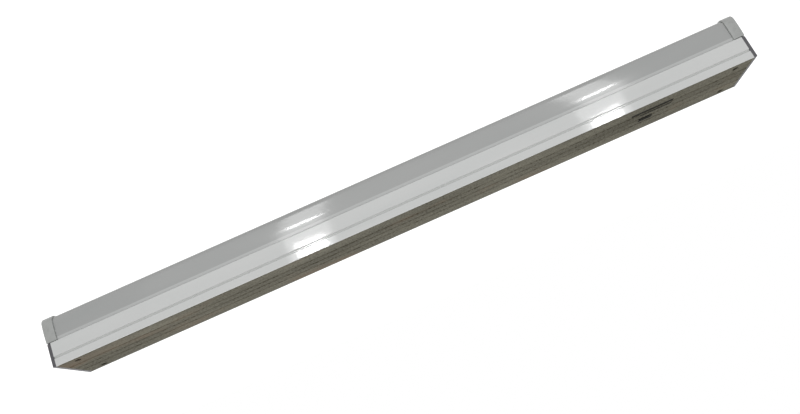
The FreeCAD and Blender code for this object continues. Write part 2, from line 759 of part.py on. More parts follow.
def led_chips(label, side):
    body = new_body(label)
    chip = new_sketch(body, "chip", "XY_Plane", board_below)
    row_start = mm.board_gap / 2 + mm.chip_margin
    pitch = (board_length - mm.chip_margin * 2) / (mm.chip_count - 1)
    draw_rectangle(chip, (row_start * side, ZERO), mm.chip_width, mm.chip_length)
    first = pad(body, chip, mm.chip_height, reverse=True)
    row = body.newObject("PartDesign::LinearPattern", f"{label}_row")
    row.Originals = [first]
    row.Direction = (origin_feature(body, "X_Axis"), [""])
    row.Reversed = side < 0
    row.Mode = "Spacing"
    bind(row, "Offset", pitch)
    bind(row, "Occurrences", mm.chip_count)
    body.Tip = row
    return body


def board_screws():
    places = board_screw_places(1) + board_screw_places(-1)
    reach = mm.board_thickness + mm.body_sheet + mm.board_screw_tip
    return screw_group("board_screws", "XY_Plane", places, board_below, reach, heads_up=False)


def board_connector():
    """Two-way connector on the left board, open towards the output bush."""
    body = new_body("board_connector")
    outline = new_sketch(body, "outline", "XY_Plane", board_below)
    draw_rectangle(outline, (bush_place, mm.connector_offset), mm.connector_length, mm.connector_width)
    pad(body, outline, mm.connector_height, reverse=True)
    mouth = mm.connector_offset + mm.connector_width / 2
    ports = new_sketch(body, "ports", "XZ_Plane", -mouth)
    places = [(bush_place + mm.output_pitch / 2 * sign, output_port) for sign in (1, -1)]
    draw_circles(ports, places, mm.output_radius + mm.screw_play)
    pocket(body, ports, mm.connector_port, reverse=True)
    return body


def board_link():
    """Plug-in bridge that joins the two boards at the middle."""
    body = new_body("board_link")
    outline = new_sketch(body, "outline", "XY_Plane", board_below)
    draw_rectangle(outline, (ZERO, -mm.connector_offset), mm.link_length, mm.connector_width)
    pad(body, outline, mm.connector_height, reverse=True)
    waist = new_sketch(body, "waist", "XY_Plane", board_below)
    draw_rectangle(waist, (ZERO, -mm.connector_offset), mm.board_gap, mm.connector_width)
    pocket(body, waist, mm.connector_height / 3, reverse=False)
    return body


# Driver: a two-piece plastic case on two ears, with a populated circuit board inside.
def driver_case():
    body = new_body("driver_case")
    outline = new_sketch(body, "outline", "XY_Plane", driver_floor)
    middle = (mm.driver_place, ZERO)
    draw_rectangle(outline, middle, mm.driver_length, mm.driver_width)
    pad(body, outline, mm.driver_height)
    ears = new_sketch(body, "ears", "XY_Plane", web_above)
    length = mm.ear_length + mm.ear_overlap
    right = driver_right + (mm.ear_length - mm.ear_overlap) / 2
    left = driver_left - (mm.ear_length - mm.ear_overlap) / 2
    draw_rectangle(ears, (right, mm.ear_offset), length, mm.ear_width)
    draw_rectangle(ears, (left, -mm.ear_offset), length, mm.ear_width)
    pad(body, ears, mm.driver_stand + mm.driver_wall)
    hollow = new_sketch(body, "hollow", "XY_Plane", driver_top)
    wall = mm.driver_wall * 2
    draw_rectangle(hollow, middle, mm.driver_length - wall, mm.driver_width - wall)
    pocket(body, hollow, mm.driver_height - mm.driver_wall)
    bosses = new_sketch(body, "bosses", "XY_Plane", driver_floor + mm.driver_wall)
    along = mm.driver_length / 2 - mm.boss_inset
    across = mm.driver_width / 2 - mm.boss_inset
    corners = [(mm.driver_place + along * i, across * j) for i in (1, -1) for j in (1, -1)]
    draw_circles(bosses, corners, mm.boss_radius)
    pad(body, bosses, mm.boss_height)
    drill(body, "ear_holes", driver_screw_places(), screw_hole)
    leads = new_sketch(body, "lead_holes", "YZ_Plane")
    spread = mm.lead_spread / 2
    draw_circles(leads, [(spread, lead_level), (-spread, lead_level)], mm.lead_radius + mm.lead_play)
    pocket(body, leads)
    return body


def driver_cover():
    body = new_body("driver_cover")
    middle = (mm.driver_place, ZERO)
    lid = new_sketch(body, "lid", "XY_Plane", driver_top)
    draw_rectangle(lid, middle, mm.driver_length, mm.driver_width)
    pad(body, lid, mm.driver_wall)
    lip = new_sketch(body, "lip", "XY_Plane", driver_top)
    edge = (mm.driver_wall + mm.driver_play) * 2
    draw_rectangle(lip, middle, mm.driver_length - edge, mm.driver_width - edge)
    inner = edge + mm.driver_wall * 2
    draw_rectangle(lip, middle, mm.driver_length - inner, mm.driver_width - inner)
    pad(body, lip, mm.driver_lip, reverse=True)
    return body


def driver_circuit_board():
    body = new_body("driver_circuit_board")
    outline = new_sketch(body, "outline", "XY_Plane", circuit_below)
    edge = (mm.driver_wall + mm.driver_play) * 2
    draw_rectangle(outline, (mm.driver_place, ZERO), mm.driver_length - edge, mm.driver_width - edge)
    pad(body, outline, mm.circuit_thickness)
    return body


def driver_transformer():
    """Two ferrite core halves with the winding standing out between them."""
    body = new_body("driver_transformer")
    core = new_sketch(body, "core", "XY_Plane", circuit_above)
    draw_rectangle(core, (mm.driver_place, ZERO), mm.transformer_length, mm.transformer_width)
    pad(body, core, part_height)
    winding = new_sketch(body, "winding", "XY_Plane", circuit_above)
    draw_rectangle(winding, (mm.driver_place, ZERO), mm.bobbin_length, mm.bobbin_width)
    pad(body, winding, part_height - mm.part_play)
    return body


def driver_capacitors():
    body = new_body("driver_capacitors")
    cans = new_sketch(body, "cans", "XY_Plane", circuit_above)
    along = mm.driver_place + mm.capacitor_place
    spread = mm.capacitor_spacing / 2
    draw_circles(cans, [(along, spread), (along, -spread)], mm.capacitor_radius)
    pad(body, cans, part_height)
    return body


def driver_choke():
    """Wound ring that lies on the circuit board."""
    ring = document.addObject("Part::Torus", "driver_choke")
    ring.Label = "driver_choke"
    bind(ring, "Radius1", mm.choke_radius)
    bind(ring, "Radius2", mm.choke_section)
    bind(ring, "Placement.Base.x", mm.driver_place + mm.choke_place)
    bind(ring, "Placement.Base.z", circuit_above + mm.choke_section)
    return ring


def driver_screws():
    seat = web_above + mm.driver_stand + mm.driver_wall
    reach = mm.driver_stand + mm.driver_wall + mm.body_sheet + mm.board_screw_tip
    return screw_group("driver_screws", "XY_Plane", driver_screw_places(), seat, reach, heads_up=True)


# Terminal block for the mains cable: three poles, each with a hole for the cores and two screws.
def pole_places():
    """Across the batten, the three poles."""
    return [mm.pole_pitch, ZERO, -mm.pole_pitch]


def terminal_well_places():
    """Along and across, the six terminal screws."""
    spread = mm.well_spread / 2
    return [(mm.terminal_place + spread * i, across) for across in pole_places() for i in (1, -1)]


def terminal_block():
    body = new_body("terminal_block")
    middle = (mm.terminal_place, ZERO)
    base = new_sketch(body, "base", "XY_Plane", web_above)
    draw_rectangle(base, middle, mm.terminal_width, terminal_side * 2)
    pad(body, base, mm.terminal_height - mm.terminal_step * 2)
    crest = new_sketch(body, "crest", "XY_Plane", web_above)
    draw_rectangle(crest, middle, mm.terminal_width - mm.terminal_step * 2, terminal_side * 2)
    pad(body, crest, mm.terminal_height)
    feet = new_sketch(body, "feet", "XY_Plane", web_above)
    draw_rectangle(feet, middle, mm.terminal_foot_width, (terminal_side + mm.terminal_foot) * 2)
    pad(body, feet, mm.terminal_foot_height)
    drill(body, "foot_holes", terminal_foot_places(), screw_hole)
    poles = new_sketch(body, "poles", "YZ_Plane")
    draw_circles(poles, [(across, lead_level) for across in pole_places()], mm.pole_bore)
    pocket(body, poles)
    wells = new_sketch(body, "wells", "XY_Plane", terminal_top)
    draw_circles(wells, terminal_well_places(), mm.well_radius)
    pocket(body, wells, terminal_top - lead_level)
    return body


def terminal_screws():
    body = new_body("terminal_screws")
    tips = new_sketch(body, "tips", "XY_Plane", lead_level + mm.lead_radius + mm.clamp_play)
    draw_circles(tips, terminal_well_places(), mm.terminal_screw)
    pad(body, tips, mm.terminal_screw_length)
    return body


def terminal_fixing_screws():
    seat = web_above + mm.terminal_foot_height
    reach = mm.terminal_foot_height + mm.body_sheet + mm.board_screw_tip
    places = terminal_foot_places()
    return screw_group("terminal_fixing_screws", "XY_Plane", places, seat, reach, heads_up=True)


# Earth connection: riveted stud, crimped ring tag and nut.
def earth_stud():
    body = new_body("earth_stud")
    place = [(mm.earth_place, -earth_side)]
    shank = new_sketch(body, "shank", "XY_Plane", web_below)
    draw_circles(shank, place, mm.stud_radius)
    pad(body, shank, mm.body_sheet + mm.stud_reach)
    head = new_sketch(body, "head", "XY_Plane", web_below)
    draw_circles(head, place, mm.stud_head)
    pad(body, head, mm.stud_head_height, reverse=True)
    return body


tag_hole = mm.stud_radius + mm.screw_play
barrel_start = mm.earth_place + mm.nut_radius + mm.tag_thickness
barrel_radius = mm.lead_radius + mm.barrel_wall + mm.clamp_play
barrel_level = web_above + barrel_radius


def earth_tag():
    body = new_body("earth_tag")
    place = [(mm.earth_place, -earth_side)]
    ring = new_sketch(body, "ring", "XY_Plane", web_above)
    draw_circles(ring, place, mm.tag_radius)
    pad(body, ring, mm.tag_thickness)
    tongue = new_sketch(body, "tongue", "XY_Plane", web_above)
    reach = barrel_start - mm.earth_place + mm.tag_thickness
    draw_rectangle(tongue, (mm.earth_place + reach / 2, -earth_side), reach, mm.tag_radius)
    pad(body, tongue, mm.tag_thickness)
    barrel = new_sketch(body, "barrel", "YZ_Plane", barrel_start)
    draw_circles(barrel, [(-earth_side, barrel_level)], barrel_radius)
    pad(body, barrel, mm.tag_barrel)
    bore = new_sketch(body, "bore", "YZ_Plane", barrel_start + mm.tag_thickness)
    draw_circles(bore, [(-earth_side, barrel_level)], mm.lead_radius + mm.clamp_play)
    pocket(body, bore, mm.tag_barrel, reverse=True)
    drill(body, "stud_hole", place, tag_hole)
    return body


def earth_nut():
    """Hexagon nut on the ring of the tag."""
    blank = document.addObject("Part::Prism", "earth_nut_blank")
    blank.Polygon = 6
    bind(blank, "Circumradius", mm.nut_radius)
    bind(blank, "Height", mm.nut_height)
    bore = document.addObject("Part::Cylinder", "earth_nut_bore")
    bind(bore, "Radius", tag_hole)
    bind(bore, "Height", mm.nut_height)
    for solid in (blank, bore):
        bind(solid, "Placement.Base.x", mm.earth_place)
        bind(solid, "Placement.Base.y", -earth_side)
        bind(solid, "Placement.Base.z", web_above + mm.tag_thickness)
    nut = document.addObject("Part::Cut", "earth_nut")
    nut.Label = "earth_nut"
    nut.Base = blank
    nut.Tool = bore
    return nut


# Rubber cable grommet in the end plate and plastic bush in the web: turned sections, each with a groove
# for the wall that it sits in.
def grooved_ring(label, bore, hole, lip, lip_thickness, top, wall):
    """A ring turned about its body's Z whose groove takes the wall below the top level."""
    body = new_body(label)
    section = new_sketch(body, "section", "XZ_Plane")
    waist = hole - mm.rubber_play
    upper = top + mm.rubber_play
    lower = top - wall - mm.rubber_play
    draw_outline(
        section,
        [
            (bore, lower - lip_thickness),
            (hole + lip, lower - lip_thickness),
            (hole + lip, lower),
            (waist, lower),
            (waist, upper),
            (hole + lip, upper),
            (hole + lip, upper + lip_thickness),
            (bore, upper + lip_thickness),
        ],
    )
    ring = body.newObject("PartDesign::Revolution", f"{label}_turned")
    ring.Profile = section
    ring.ReferenceAxis = (section, ["V_Axis"])
    ring.Angle = 360
    section.Visibility = False
    return body


def cable_grommet():
    wall = mm.end_plate_thickness - mm.recess_depth
    top = half_length - mm.recess_depth
    body = grooved_ring(
        "cable_grommet", mm.cable_bore, cable_hole, mm.grommet_lip, mm.grommet_lip_thickness, top, wall
    )
    body.Placement.Rotation = Rotation(Vector(0, 1, 0), 90)
    bind(body, "Placement.Base.z", -mm.end_screw_level)
    return body


def lead_bush():
    body = grooved_ring(
        "lead_bush", mm.bush_bore, bush_hole, mm.bush_lip, mm.bush_lip_thickness, web_above, mm.body_sheet
    )
    bind(body, "Placement.Base.x", bush_place)
    bind(body, "Placement.Base.y", mm.bush_side)
    return body


# Leads: insulated wires on straight runs joined by tangent arcs, held at both ends.
def bent_path(points, bend):
    """Straight runs between the points, with an arc of the bend's radius at each corner."""
    edges = []
    start = points[0]
    for before, corner, after in zip(points, points[1:], points[2:]):
        arrive = (corner - before).normalize()
        leave = (after - corner).normalize()
        turn = arrive.getAngle(leave)
        trim = bend * math.tan(turn / 2)
        first = corner - arrive * trim
        last = corner + leave * trim
        inward = (leave - arrive).normalize()
        middle = corner + inward * (bend / math.cos(turn / 2) - bend)
        edges.append(Part.LineSegment(start, first).toShape())
        edges.append(Part.Arc(first, middle, last).toShape())
        start = last
    edges.append(Part.LineSegment(start, points[-1]).toShape())
    return Part.Wire(edges)


def lead(label, corners, radius, bend):
    """One lead as a tube along its corners."""
    points = [Vector(*(as_length(amount).value for amount in corner)) for corner in corners]
    path = bent_path(points, bend.value)
    circle = Part.makeCircle(radius.value, points[0], points[1] - points[0])
    tube = path.makePipe(Part.Face(Part.Wire(circle)))
    expected = math.pi * radius.value**2 * path.Length
    if abs(tube.Volume - expected) > 0.01 * expected:
        raise RuntimeError(f"{label} does not fill its path")
    piece = document.addObject("Part::Feature", label)
    piece.Label = label
    piece.Shape = tube
    piece.Placement = Placement()
    return piece


def supply_lead(label, pole, port):
    """From a pole of the terminal block to the driver."""
    leaves = mm.terminal_place - mm.terminal_width / 2
    middle = (leaves + driver_right) / 2
    run = mm.lead_bend * 2
    corners = [
        (leaves + mm.terminal_width / 2, pole, lead_level),
        (middle + run, pole, lead_level),
        (middle - run, port, lead_level),
        (driver_right - mm.lead_inside, port, lead_level),
    ]
    return lead(label, corners, mm.lead_radius, mm.lead_bend)


def earth_lead():
    """From the last pole down to the crimped tag on the stud."""
    leaves = mm.terminal_place - mm.terminal_width / 2
    pole = -mm.pole_pitch
    tag_mouth = barrel_start + mm.tag_barrel
    run = mm.lead_bend
    corners = [
        (leaves + mm.terminal_width / 2, pole, lead_level),
        (leaves - mm.lead_radius * 2, pole, lead_level),
        (tag_mouth + run, -earth_side, barrel_level),
        (barrel_start + mm.tag_thickness * 2, -earth_side, barrel_level),
    ]
    return lead("earth_lead", corners, mm.lead_radius, mm.lead_bend / 2)


def output_lead(label, port, place):
    """From the driver along the web, down through the bush and into the board's connector."""
    level = lead_level
    mouth = mm.connector_offset + mm.connector_width / 2 - mm.connector_port
    corners = [
        (driver_left + mm.lead_inside, port, level),
        (place, port, level),
        (place, mm.bush_side, level),
        (place, mm.bush_side, output_port),
        (place, mouth, output_port),
    ]
    return lead(label, corners, mm.output_radius, mm.output_bend)


port_side = mm.lead_spread / 2
output_step = mm.output_pitch / 2

pieces = [
    mounting_plate(),
    body_channel(),
    diffuser(),
    diffuser_cap("diffuser_cap_right", half_turn=False),
    diffuser_cap("diffuser_cap_left", half_turn=True),
    end_plate("end_plate_right", half_turn=False, broken_out=True),
    end_plate("end_plate_left", half_turn=True, broken_out=False),
    end_plate_screws(),
    led_board("led_board_right", 1),
    led_board("led_board_left", -1),
    led_chips("led_chips_right", 1),
    led_chips("led_chips_left", -1),
    board_screws(),
    board_connector(),
    board_link(),
    driver_case(),
    driver_cover(),
    driver_circuit_board(),
    driver_transformer(),
    driver_capacitors(),
    driver_choke(),
    driver_screws(),
    terminal_block(),
    terminal_screws(),
    terminal_fixing_screws(),
    earth_stud(),
    earth_tag(),
    earth_nut(),
    cable_grommet(),
    lead_bush(),
    supply_lead("live_lead", mm.pole_pitch, port_side),
    supply_lead("neutral_lead", ZERO, -port_side),
    earth_lead(),
    output_lead("led_lead_positive", port_side, bush_place + output_step),
    output_lead("led_lead_negative", -port_side, bush_place - output_step),
]

document.recompute()
for item in document.Objects:
    if "Invalid" in item.State or "Error" in item.State:
        raise RuntimeError(f"{item.Name} did not build: {item.State}")
for piece in pieces:
    if piece.Shape.isNull() or not piece.Shape.isValid() or not piece.Shape.Solids:
        raise RuntimeError(f"{piece.Label} has no sound solid")

os.makedirs("parts", exist_ok=True)
for piece in pieces:
    piece.Shape.exportStep(f"parts/{piece.Label}.step")
    box = piece.Shape.BoundBox
    print(
        f"{piece.Label}: {len(piece.Shape.Solids)} solids, {piece.Shape.Volume:.1f} mm3,"
        f" x {box.XMin:.2f} {box.XMax:.2f}, y {box.YMin:.2f} {box.YMax:.2f}, z {box.ZMin:.2f} {box.ZMax:.2f}"
    )
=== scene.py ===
import math

import bmesh
import bpy
import numpy as np
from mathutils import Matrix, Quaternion, Vector


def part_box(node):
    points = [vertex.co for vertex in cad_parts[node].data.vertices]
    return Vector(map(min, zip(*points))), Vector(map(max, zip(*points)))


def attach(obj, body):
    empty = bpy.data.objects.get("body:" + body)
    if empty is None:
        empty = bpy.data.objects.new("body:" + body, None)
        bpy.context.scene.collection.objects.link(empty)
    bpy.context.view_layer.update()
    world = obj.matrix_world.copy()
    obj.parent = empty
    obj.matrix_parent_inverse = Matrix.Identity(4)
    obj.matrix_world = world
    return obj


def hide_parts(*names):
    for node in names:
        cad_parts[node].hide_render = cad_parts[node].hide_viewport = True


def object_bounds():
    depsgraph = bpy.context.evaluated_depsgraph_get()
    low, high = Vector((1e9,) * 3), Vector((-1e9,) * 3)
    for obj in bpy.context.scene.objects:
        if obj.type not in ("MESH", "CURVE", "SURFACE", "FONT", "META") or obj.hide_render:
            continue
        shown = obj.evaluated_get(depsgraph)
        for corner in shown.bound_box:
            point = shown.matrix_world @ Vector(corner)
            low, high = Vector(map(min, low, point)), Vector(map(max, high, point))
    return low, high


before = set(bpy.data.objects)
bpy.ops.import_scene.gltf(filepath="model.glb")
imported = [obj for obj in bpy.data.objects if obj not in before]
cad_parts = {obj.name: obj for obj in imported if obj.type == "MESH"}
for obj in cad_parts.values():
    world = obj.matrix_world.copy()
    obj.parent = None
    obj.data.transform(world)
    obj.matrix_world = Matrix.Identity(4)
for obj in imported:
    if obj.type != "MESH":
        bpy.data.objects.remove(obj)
cad_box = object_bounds()

# Mounting plate: a folded strip of zinc-coated steel that is screwed to the ceiling through a hole
# near each corner. Its dull skin is streaked by the rolls and dirty, with painted shade along its
# three beads, and a small block of plain ink bars is stamped near one end of its back.
mm = 0.001
zinc_dark = (113, 110, 97)
zinc_light = (140, 137, 123)
# Colour of the dirt, and of the painted shade along the beads.
zinc_dirt_and_shade = (80, 77, 66)
zinc_brown = (124, 106, 88)
zinc_metal = 0.3
zinc_roughness = (0.48, 0.66)
streak_waves = (5, 650, 650)
streak_depth = 0.01 * mm
grain_waves = (260, 420, 420)
grain_share = 0.4
grain_range = (0.2, 0.8)
stain_waves = (11, 26, 26)
stain_shift = (0, 5, 0)
stain_share = 0.6
stain_range = (0.54, 0.7)
blotch_waves = (8, 34, 34)
blotch_shift = (3, 0, 0)
blotch_share = 0.5
smear_waves = (70, 90, 90)
smear_shift = (7, 0, 0)
smear_share = 0.1
smear_range = (0.4, 0.7)
speck_waves = (560, 380, 380)
speck_shift = (0, 7, 0)
speck_share = 0.54
speck_range = (0.45, 0.7)
bead_spacing = 10.5 * mm
# Painted shade along the three beads: its width, soft edge and share.
bead_shade_width = 1.0 * mm
bead_shade_soft = 1.4 * mm
bead_shade_share = 0.4
bead_gap_waves = (40, 9, 9)
between_share = 0.14
between_soft = 4 * mm
ink_colour = (14, 13, 11)
ink_bars = (
    (-213 * mm, -13.6 * mm, 36 * mm, 4.6 * mm),
    (-217 * mm, -8.0 * mm, 28 * mm, 2.2 * mm),
    (-210 * mm, 3.0 * mm, 12 * mm, 6.4 * mm),
    (-210 * mm, 9.4 * mm, 28 * mm, 1.8 * mm),
)
ink_soft = 0.3 * mm
wear_waves = (900, 1300, 1300)
wear_left = 0.45
wear_range = (0.36, 0.5)


def card(red, green, blue):
    """A colour card's 0-255 values, by the sRGB curve, as the linear RGBA that a socket takes."""
    shares = np.array([red, green, blue]) / 255
    linear = np.where(shares <= 0.04045, shares / 12.92, ((shares + 0.055) / 1.055) ** 2.4)
    return (*linear.tolist(), 1.0)


def add_node(material, kind, inputs=None, **settings):
    """One node; each input takes a constant, or a link where another node's output is given."""
    node = material.node_tree.nodes.new(kind)
    for name, value in settings.items():
        setattr(node, name, value)
    for socket, value in (inputs or {}).items():
        if isinstance(value, bpy.types.NodeSocket):
            material.node_tree.links.new(value, node.inputs[socket])
        else:
            node.inputs[socket].default_value = value
    return node


def new_finish(name, **constants):
    """A material with one Principled shader, whose sockets take these constants."""
    material = bpy.data.materials.new(name)
    material.use_nodes = True
    shader = material.node_tree.nodes["Principled BSDF"]
    for key, value in constants.items():
        socket = key.replace("_", " ").title().replace("Ior", "IOR")
        shader.inputs[socket].default_value = value
    return material, shader


def feed(material, shader, **outputs):
    """Link patterns to the shader's sockets."""
    for key, output in outputs.items():
        socket = shader.inputs[key.replace("_", " ").title()]
        material.node_tree.links.new(output, socket)


def object_axes(material):
    """The place on the object as three outputs, X, Y and Z, in metres."""
    place = add_node(material, "ShaderNodeTexCoord").outputs["Object"]
    return add_node(material, "ShaderNodeSeparateXYZ", {"Vector": place}).outputs


def object_place(material, waves, shift=(0, 0, 0)):
    """Object coordinates times the waves per metre along X, Y and Z, shifted by whole waves."""
    place = add_node(material, "ShaderNodeTexCoord").outputs["Object"]
    inputs = {"Vector": place, "Scale": waves, "Location": shift}
    return add_node(material, "ShaderNodeMapping", inputs).outputs["Vector"]


def clouds(material, waves, detail=3.0, shift=(0, 0, 0)):
    """Noise from 0 to 1 with this many waves per metre along X, Y and Z."""
    place = object_place(material, waves, shift)
    inputs = {"Vector": place, "Scale": 1.0, "Detail": detail}
    return add_node(material, "ShaderNodeTexNoise", inputs).outputs[0]


def crystals(material, waves):
    """A random level for each cell of a broken pattern, as zinc freezes into grains."""
    place = object_place(material, waves)
    cells = add_node(material, "ShaderNodeTexVoronoi", {"Vector": place, "Scale": 1.0})
    return add_node(material, "ShaderNodeRGBToBW", {"Color": cells.outputs["Color"]}).outputs[0]


def blend_colours(material, pattern, first, second, low=0.3, high=0.7):
    """The first colour where the pattern is below low, the second above high, a blend between."""
    ramp = add_node(material, "ShaderNodeValToRGB", {"Fac": pattern})
    stops = ramp.color_ramp.elements
    stops[0].position = low
    stops[0].color = first
    stops[1].position = high
    stops[1].color = second
    return ramp.outputs["Color"]


def mix_colours(material, share, first, second):
    """The first colour where the share is 0 and the second where it is 1. The node's colours go in
    at its sockets 6 and 7 and come out at 2."""
    inputs = {"Factor": share, 6: first, 7: second}
    return add_node(material, "ShaderNodeMix", inputs, data_type="RGBA").outputs[2]


def spread(material, pattern, first, second, low=0.3, high=0.7):
    """A number that runs from first to second while the pattern runs from low to high."""
    inputs = {
        "Value": pattern, "From Min": low, "From Max": high, "To Min": first, "To Max": second
    }
    return add_node(material, "ShaderNodeMapRange", inputs).outputs[0]


def combine(material, operation, first, second):
    """Two patterns put together by one sum, product or comparison."""
    inputs = {0: first, 1: second}
    return add_node(material, "ShaderNodeMath", inputs, operation=operation).outputs[0]


def relief(material, height, depth):
    """A bumped normal; depth is the real height in metres between the pattern's 0 and 1."""
    inputs = {"Height": height, "Distance": depth}
    return add_node(material, "ShaderNodeBump", inputs).outputs["Normal"]


def band(material, value, middle, width, soft):
    """1 where the value is within half the width of the middle, and 0 past the soft edge."""
    away = combine(material, "ABSOLUTE", combine(material, "SUBTRACT", value, middle), 0.0)
    return spread(material, away, 1.0, 0.0, width / 2 - soft / 2, width / 2 + soft / 2)


def stamped_ink(material):
    """Plain bars: for each one a band along X times a band along Y, and the highest of them all,
    worn away in fine specks."""
    axes = object_axes(material)
    ink = 0.0
    for along, across, length, height in ink_bars:
        run = band(material, axes["X"], along, length, ink_soft)
        rise = band(material, axes["Y"], across, height, ink_soft)
        ink = combine(material, "MAXIMUM", ink, combine(material, "MULTIPLY", run, rise))
    wear = clouds(material, wear_waves, detail=4.0)
    worn = spread(material, wear, wear_left, 1.0, *wear_range)
    return combine(material, "MULTIPLY", ink, worn)


def bead_shade(material, across):
    """Painted shade in broken lines along the three beads. The distance across is folded about one
    bead spacing, so that the lines are one, and a wide band leaves out those further away."""
    folded = combine(material, "PINGPONG", across, bead_spacing / 2)
    line = band(material, folded, 0.0, bead_shade_width, bead_shade_soft)
    near = band(material, across, 0.0, 3 * bead_spacing, between_soft)
    gaps = spread(material, clouds(material, bead_gap_waves), 0.0, bead_shade_share)
    return combine(material, "MULTIPLY", combine(material, "MULTIPLY", line, near), gaps)


def dirt_and_bead_shade(material):
    """The sum of slow blotches, smears and specks of dirt, a little darkening between the outer
    beads, and the lines of painted shade along the beads."""
    across = object_axes(material)["Y"]
    slow = clouds(material, blotch_waves, detail=5.0, shift=blotch_shift)
    smeared = clouds(material, smear_waves, shift=smear_shift)
    specked = clouds(material, speck_waves, shift=speck_shift)
    between = band(material, across, 0.0, 2 * bead_spacing, between_soft)
    layers = (
        spread(material, smeared, 0.0, smear_share, *smear_range),
        spread(material, specked, 0.0, speck_share, *speck_range),
        combine(material, "MULTIPLY", between, between_share),
        # Painted shade along the beads.
        bead_shade(material, across),
    )
    total = spread(material, slow, 0.0, blotch_share)
    for layer in layers:
        total = combine(material, "ADD", total, layer)
    return total


def zinc_coat():
    """Dull rolled zinc: streaks along the batten and fine grains, then the dirt with painted shade
    along the beads, brown patches where the coat has stained, and the ink on top."""
    material, shader = new_finish("zinc_coat", metallic=zinc_metal, specular_ior_level=0.0)
    streaks = clouds(material, streak_waves, detail=4.0)
    grains = spread(material, crystals(material, grain_waves), 0.0, grain_share, *grain_range)
    patches = clouds(material, stain_waves, detail=5.0, shift=stain_shift)
    stains = spread(material, patches, 0.0, stain_share, *stain_range)
    steel = blend_colours(material, streaks, card(*zinc_dark), card(*zinc_light))
    grained = mix_colours(material, grains, steel, card(*zinc_light))
    # Dirt, and painted shade along the beads.
    dirty_and_shaded = mix_colours(material, dirt_and_bead_shade(material), grained, card(*zinc_dirt_and_shade))
    stained = mix_colours(material, stains, dirty_and_shaded, card(*zinc_brown))
    stamped = mix_colours(material, stamped_ink(material), stained, card(*ink_colour))
    rough = spread(material, streaks, *zinc_roughness)
    bumps = relief(material, streaks, streak_depth)
    feed(material, shader, base_color=stamped, roughness=rough, normal=bumps)
    return material


def dress(material, *names):
    """Give CAD nodes this material in place of the plain one they came with."""
    for name in names:
        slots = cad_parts[name].data.materials
        for index in range(len(slots)):
            slots[index] = material


dress(zinc_coat(), "mounting_plate")

# Body: one roll-formed channel of white-painted steel that snaps over the plate's flanges. Each
# side wall has a pressed snap groove, turns in over the diffuser's foot and leans out again as a
# rail, and the web between the rails carries everything inside.
body_low, body_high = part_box("body_channel")
half_width = body_high.y
station_count = 25
smooth_crease = 32
sheet = 0.8 * mm
groove_outside = (-7.35 * mm, 1.0 * mm, 0.55 * mm)
groove_inside = (-7.7 * mm, 1.3 * mm, 0.6 * mm)
groove_depth = 0.8 * mm
groove_round = 0.3 * mm
shelf_level = -20.2 * mm
shelf_width = 3.2 * mm
shelf_bend = 0.9 * mm
bend_lead = 0.06 * mm
rail_undercut = 0.8 * mm
rail_round = 0.25 * mm
screw_hole = 1.6 * mm
board_screws_along = (14 * mm, 144 * mm, 274 * mm)
board_screws_across = 5.5 * mm
driver_ears = ((-47.5 * mm, 12.4 * mm), (-180.5 * mm, -12.4 * mm))
terminal_feet = ((40 * mm, 19 * mm), (40 * mm, -19 * mm))
stud_place = (4 * mm, -17 * mm)
stud_hole = 2.1 * mm
bush_place = (-212 * mm, 14 * mm)
bush_hole = 3 * mm
paint_light = (214, 215, 214)
paint_dark = (208, 210, 209)
# Colour of the painted shade in the snap groove.
paint_groove_shade = (196, 198, 196)
paint_roughness = (0.04, 0.065)
dust_waves = (9, 70, 70)
# Level, width and soft edge of the painted shade in the snap groove.
groove_shade_level = -7.1 * mm
groove_shade_width = 1.5 * mm
groove_shade_soft = 0.3 * mm
peel_waves = (700, 700, 700)
peel_share = 0.012
sheet_waves = (28, 6, 6)
sheet_wave_depth = 0.04 * mm


def rounded_path(corners, radii, steps=7, lead=None):
    """An open path whose corners are rounded. At each corner the heading turns evenly from one
    run's to the next one's, so the arc's points are its start plus the radius times the change of
    the normal. A lead adds a point this far before and after each arc, which keeps the long runs
    flat when shaded."""
    corners = np.asarray(corners, float)
    radii = np.asarray(radii, float)[:, None]
    runs = np.diff(corners, axis=0)
    heading = np.arctan2(runs[:, 1], runs[:, 0])[:, None]
    ahead = np.hstack([np.cos(heading), np.sin(heading)])
    turn = (np.diff(heading, axis=0) + np.pi) % (2 * np.pi) - np.pi
    start = corners[1:-1] - ahead[:-1] * radii * np.tan(np.abs(turn) / 2)
    bearing = heading[:-1] + turn * np.linspace(0, 1, steps)
    normal = np.stack([-np.sin(bearing), np.cos(bearing)], axis=-1)
    arcs = start[:, None] + (np.sign(turn) * radii)[:, None] * (normal[:, :1] - normal)
    if lead:
        before = arcs[:, :1] - (ahead[:-1] * lead)[:, None]
        after = arcs[:, -1:] + (ahead[1:] * lead)[:, None]
        arcs = np.concatenate([before, arcs, after], axis=1)
    return np.vstack([corners[:1], arcs.reshape(-1, 2), corners[-1:]])


def new_piece(name, points, faces, crease=smooth_crease, weld=None):
    """A mesh object with its faces turned outwards, smooth but for edges sharper than the crease.
    Points closer together than the weld become one."""
    mesh = bpy.data.meshes.new(name)
    mesh.from_pydata(points.tolist(), [], faces)
    shell = bmesh.new()
    shell.from_mesh(mesh)
    if weld:
        bmesh.ops.remove_doubles(shell, verts=shell.verts, dist=weld)
    bmesh.ops.recalc_face_normals(shell, faces=shell.faces)
    shell.to_mesh(mesh)
    shell.free()
    mesh.shade_smooth()
    mesh.set_sharp_from_angle(angle=math.radians(crease))
    piece = bpy.data.objects.new(name, mesh)
    bpy.context.scene.collection.objects.link(piece)
    return piece


def grid_faces(rows, columns, closed):
    """Quads between neighbouring points of a grid of rows and columns; closed joins its last column
    to its first."""
    index = np.arange(rows * columns).reshape(rows, columns)
    after = np.roll(index, -1, axis=1) if closed else index[:, 1:]
    before = index if closed else index[:, :-1]
    return np.stack([before[:-1], before[1:], after[1:], after[:-1]], axis=-1).reshape(-1, 4)


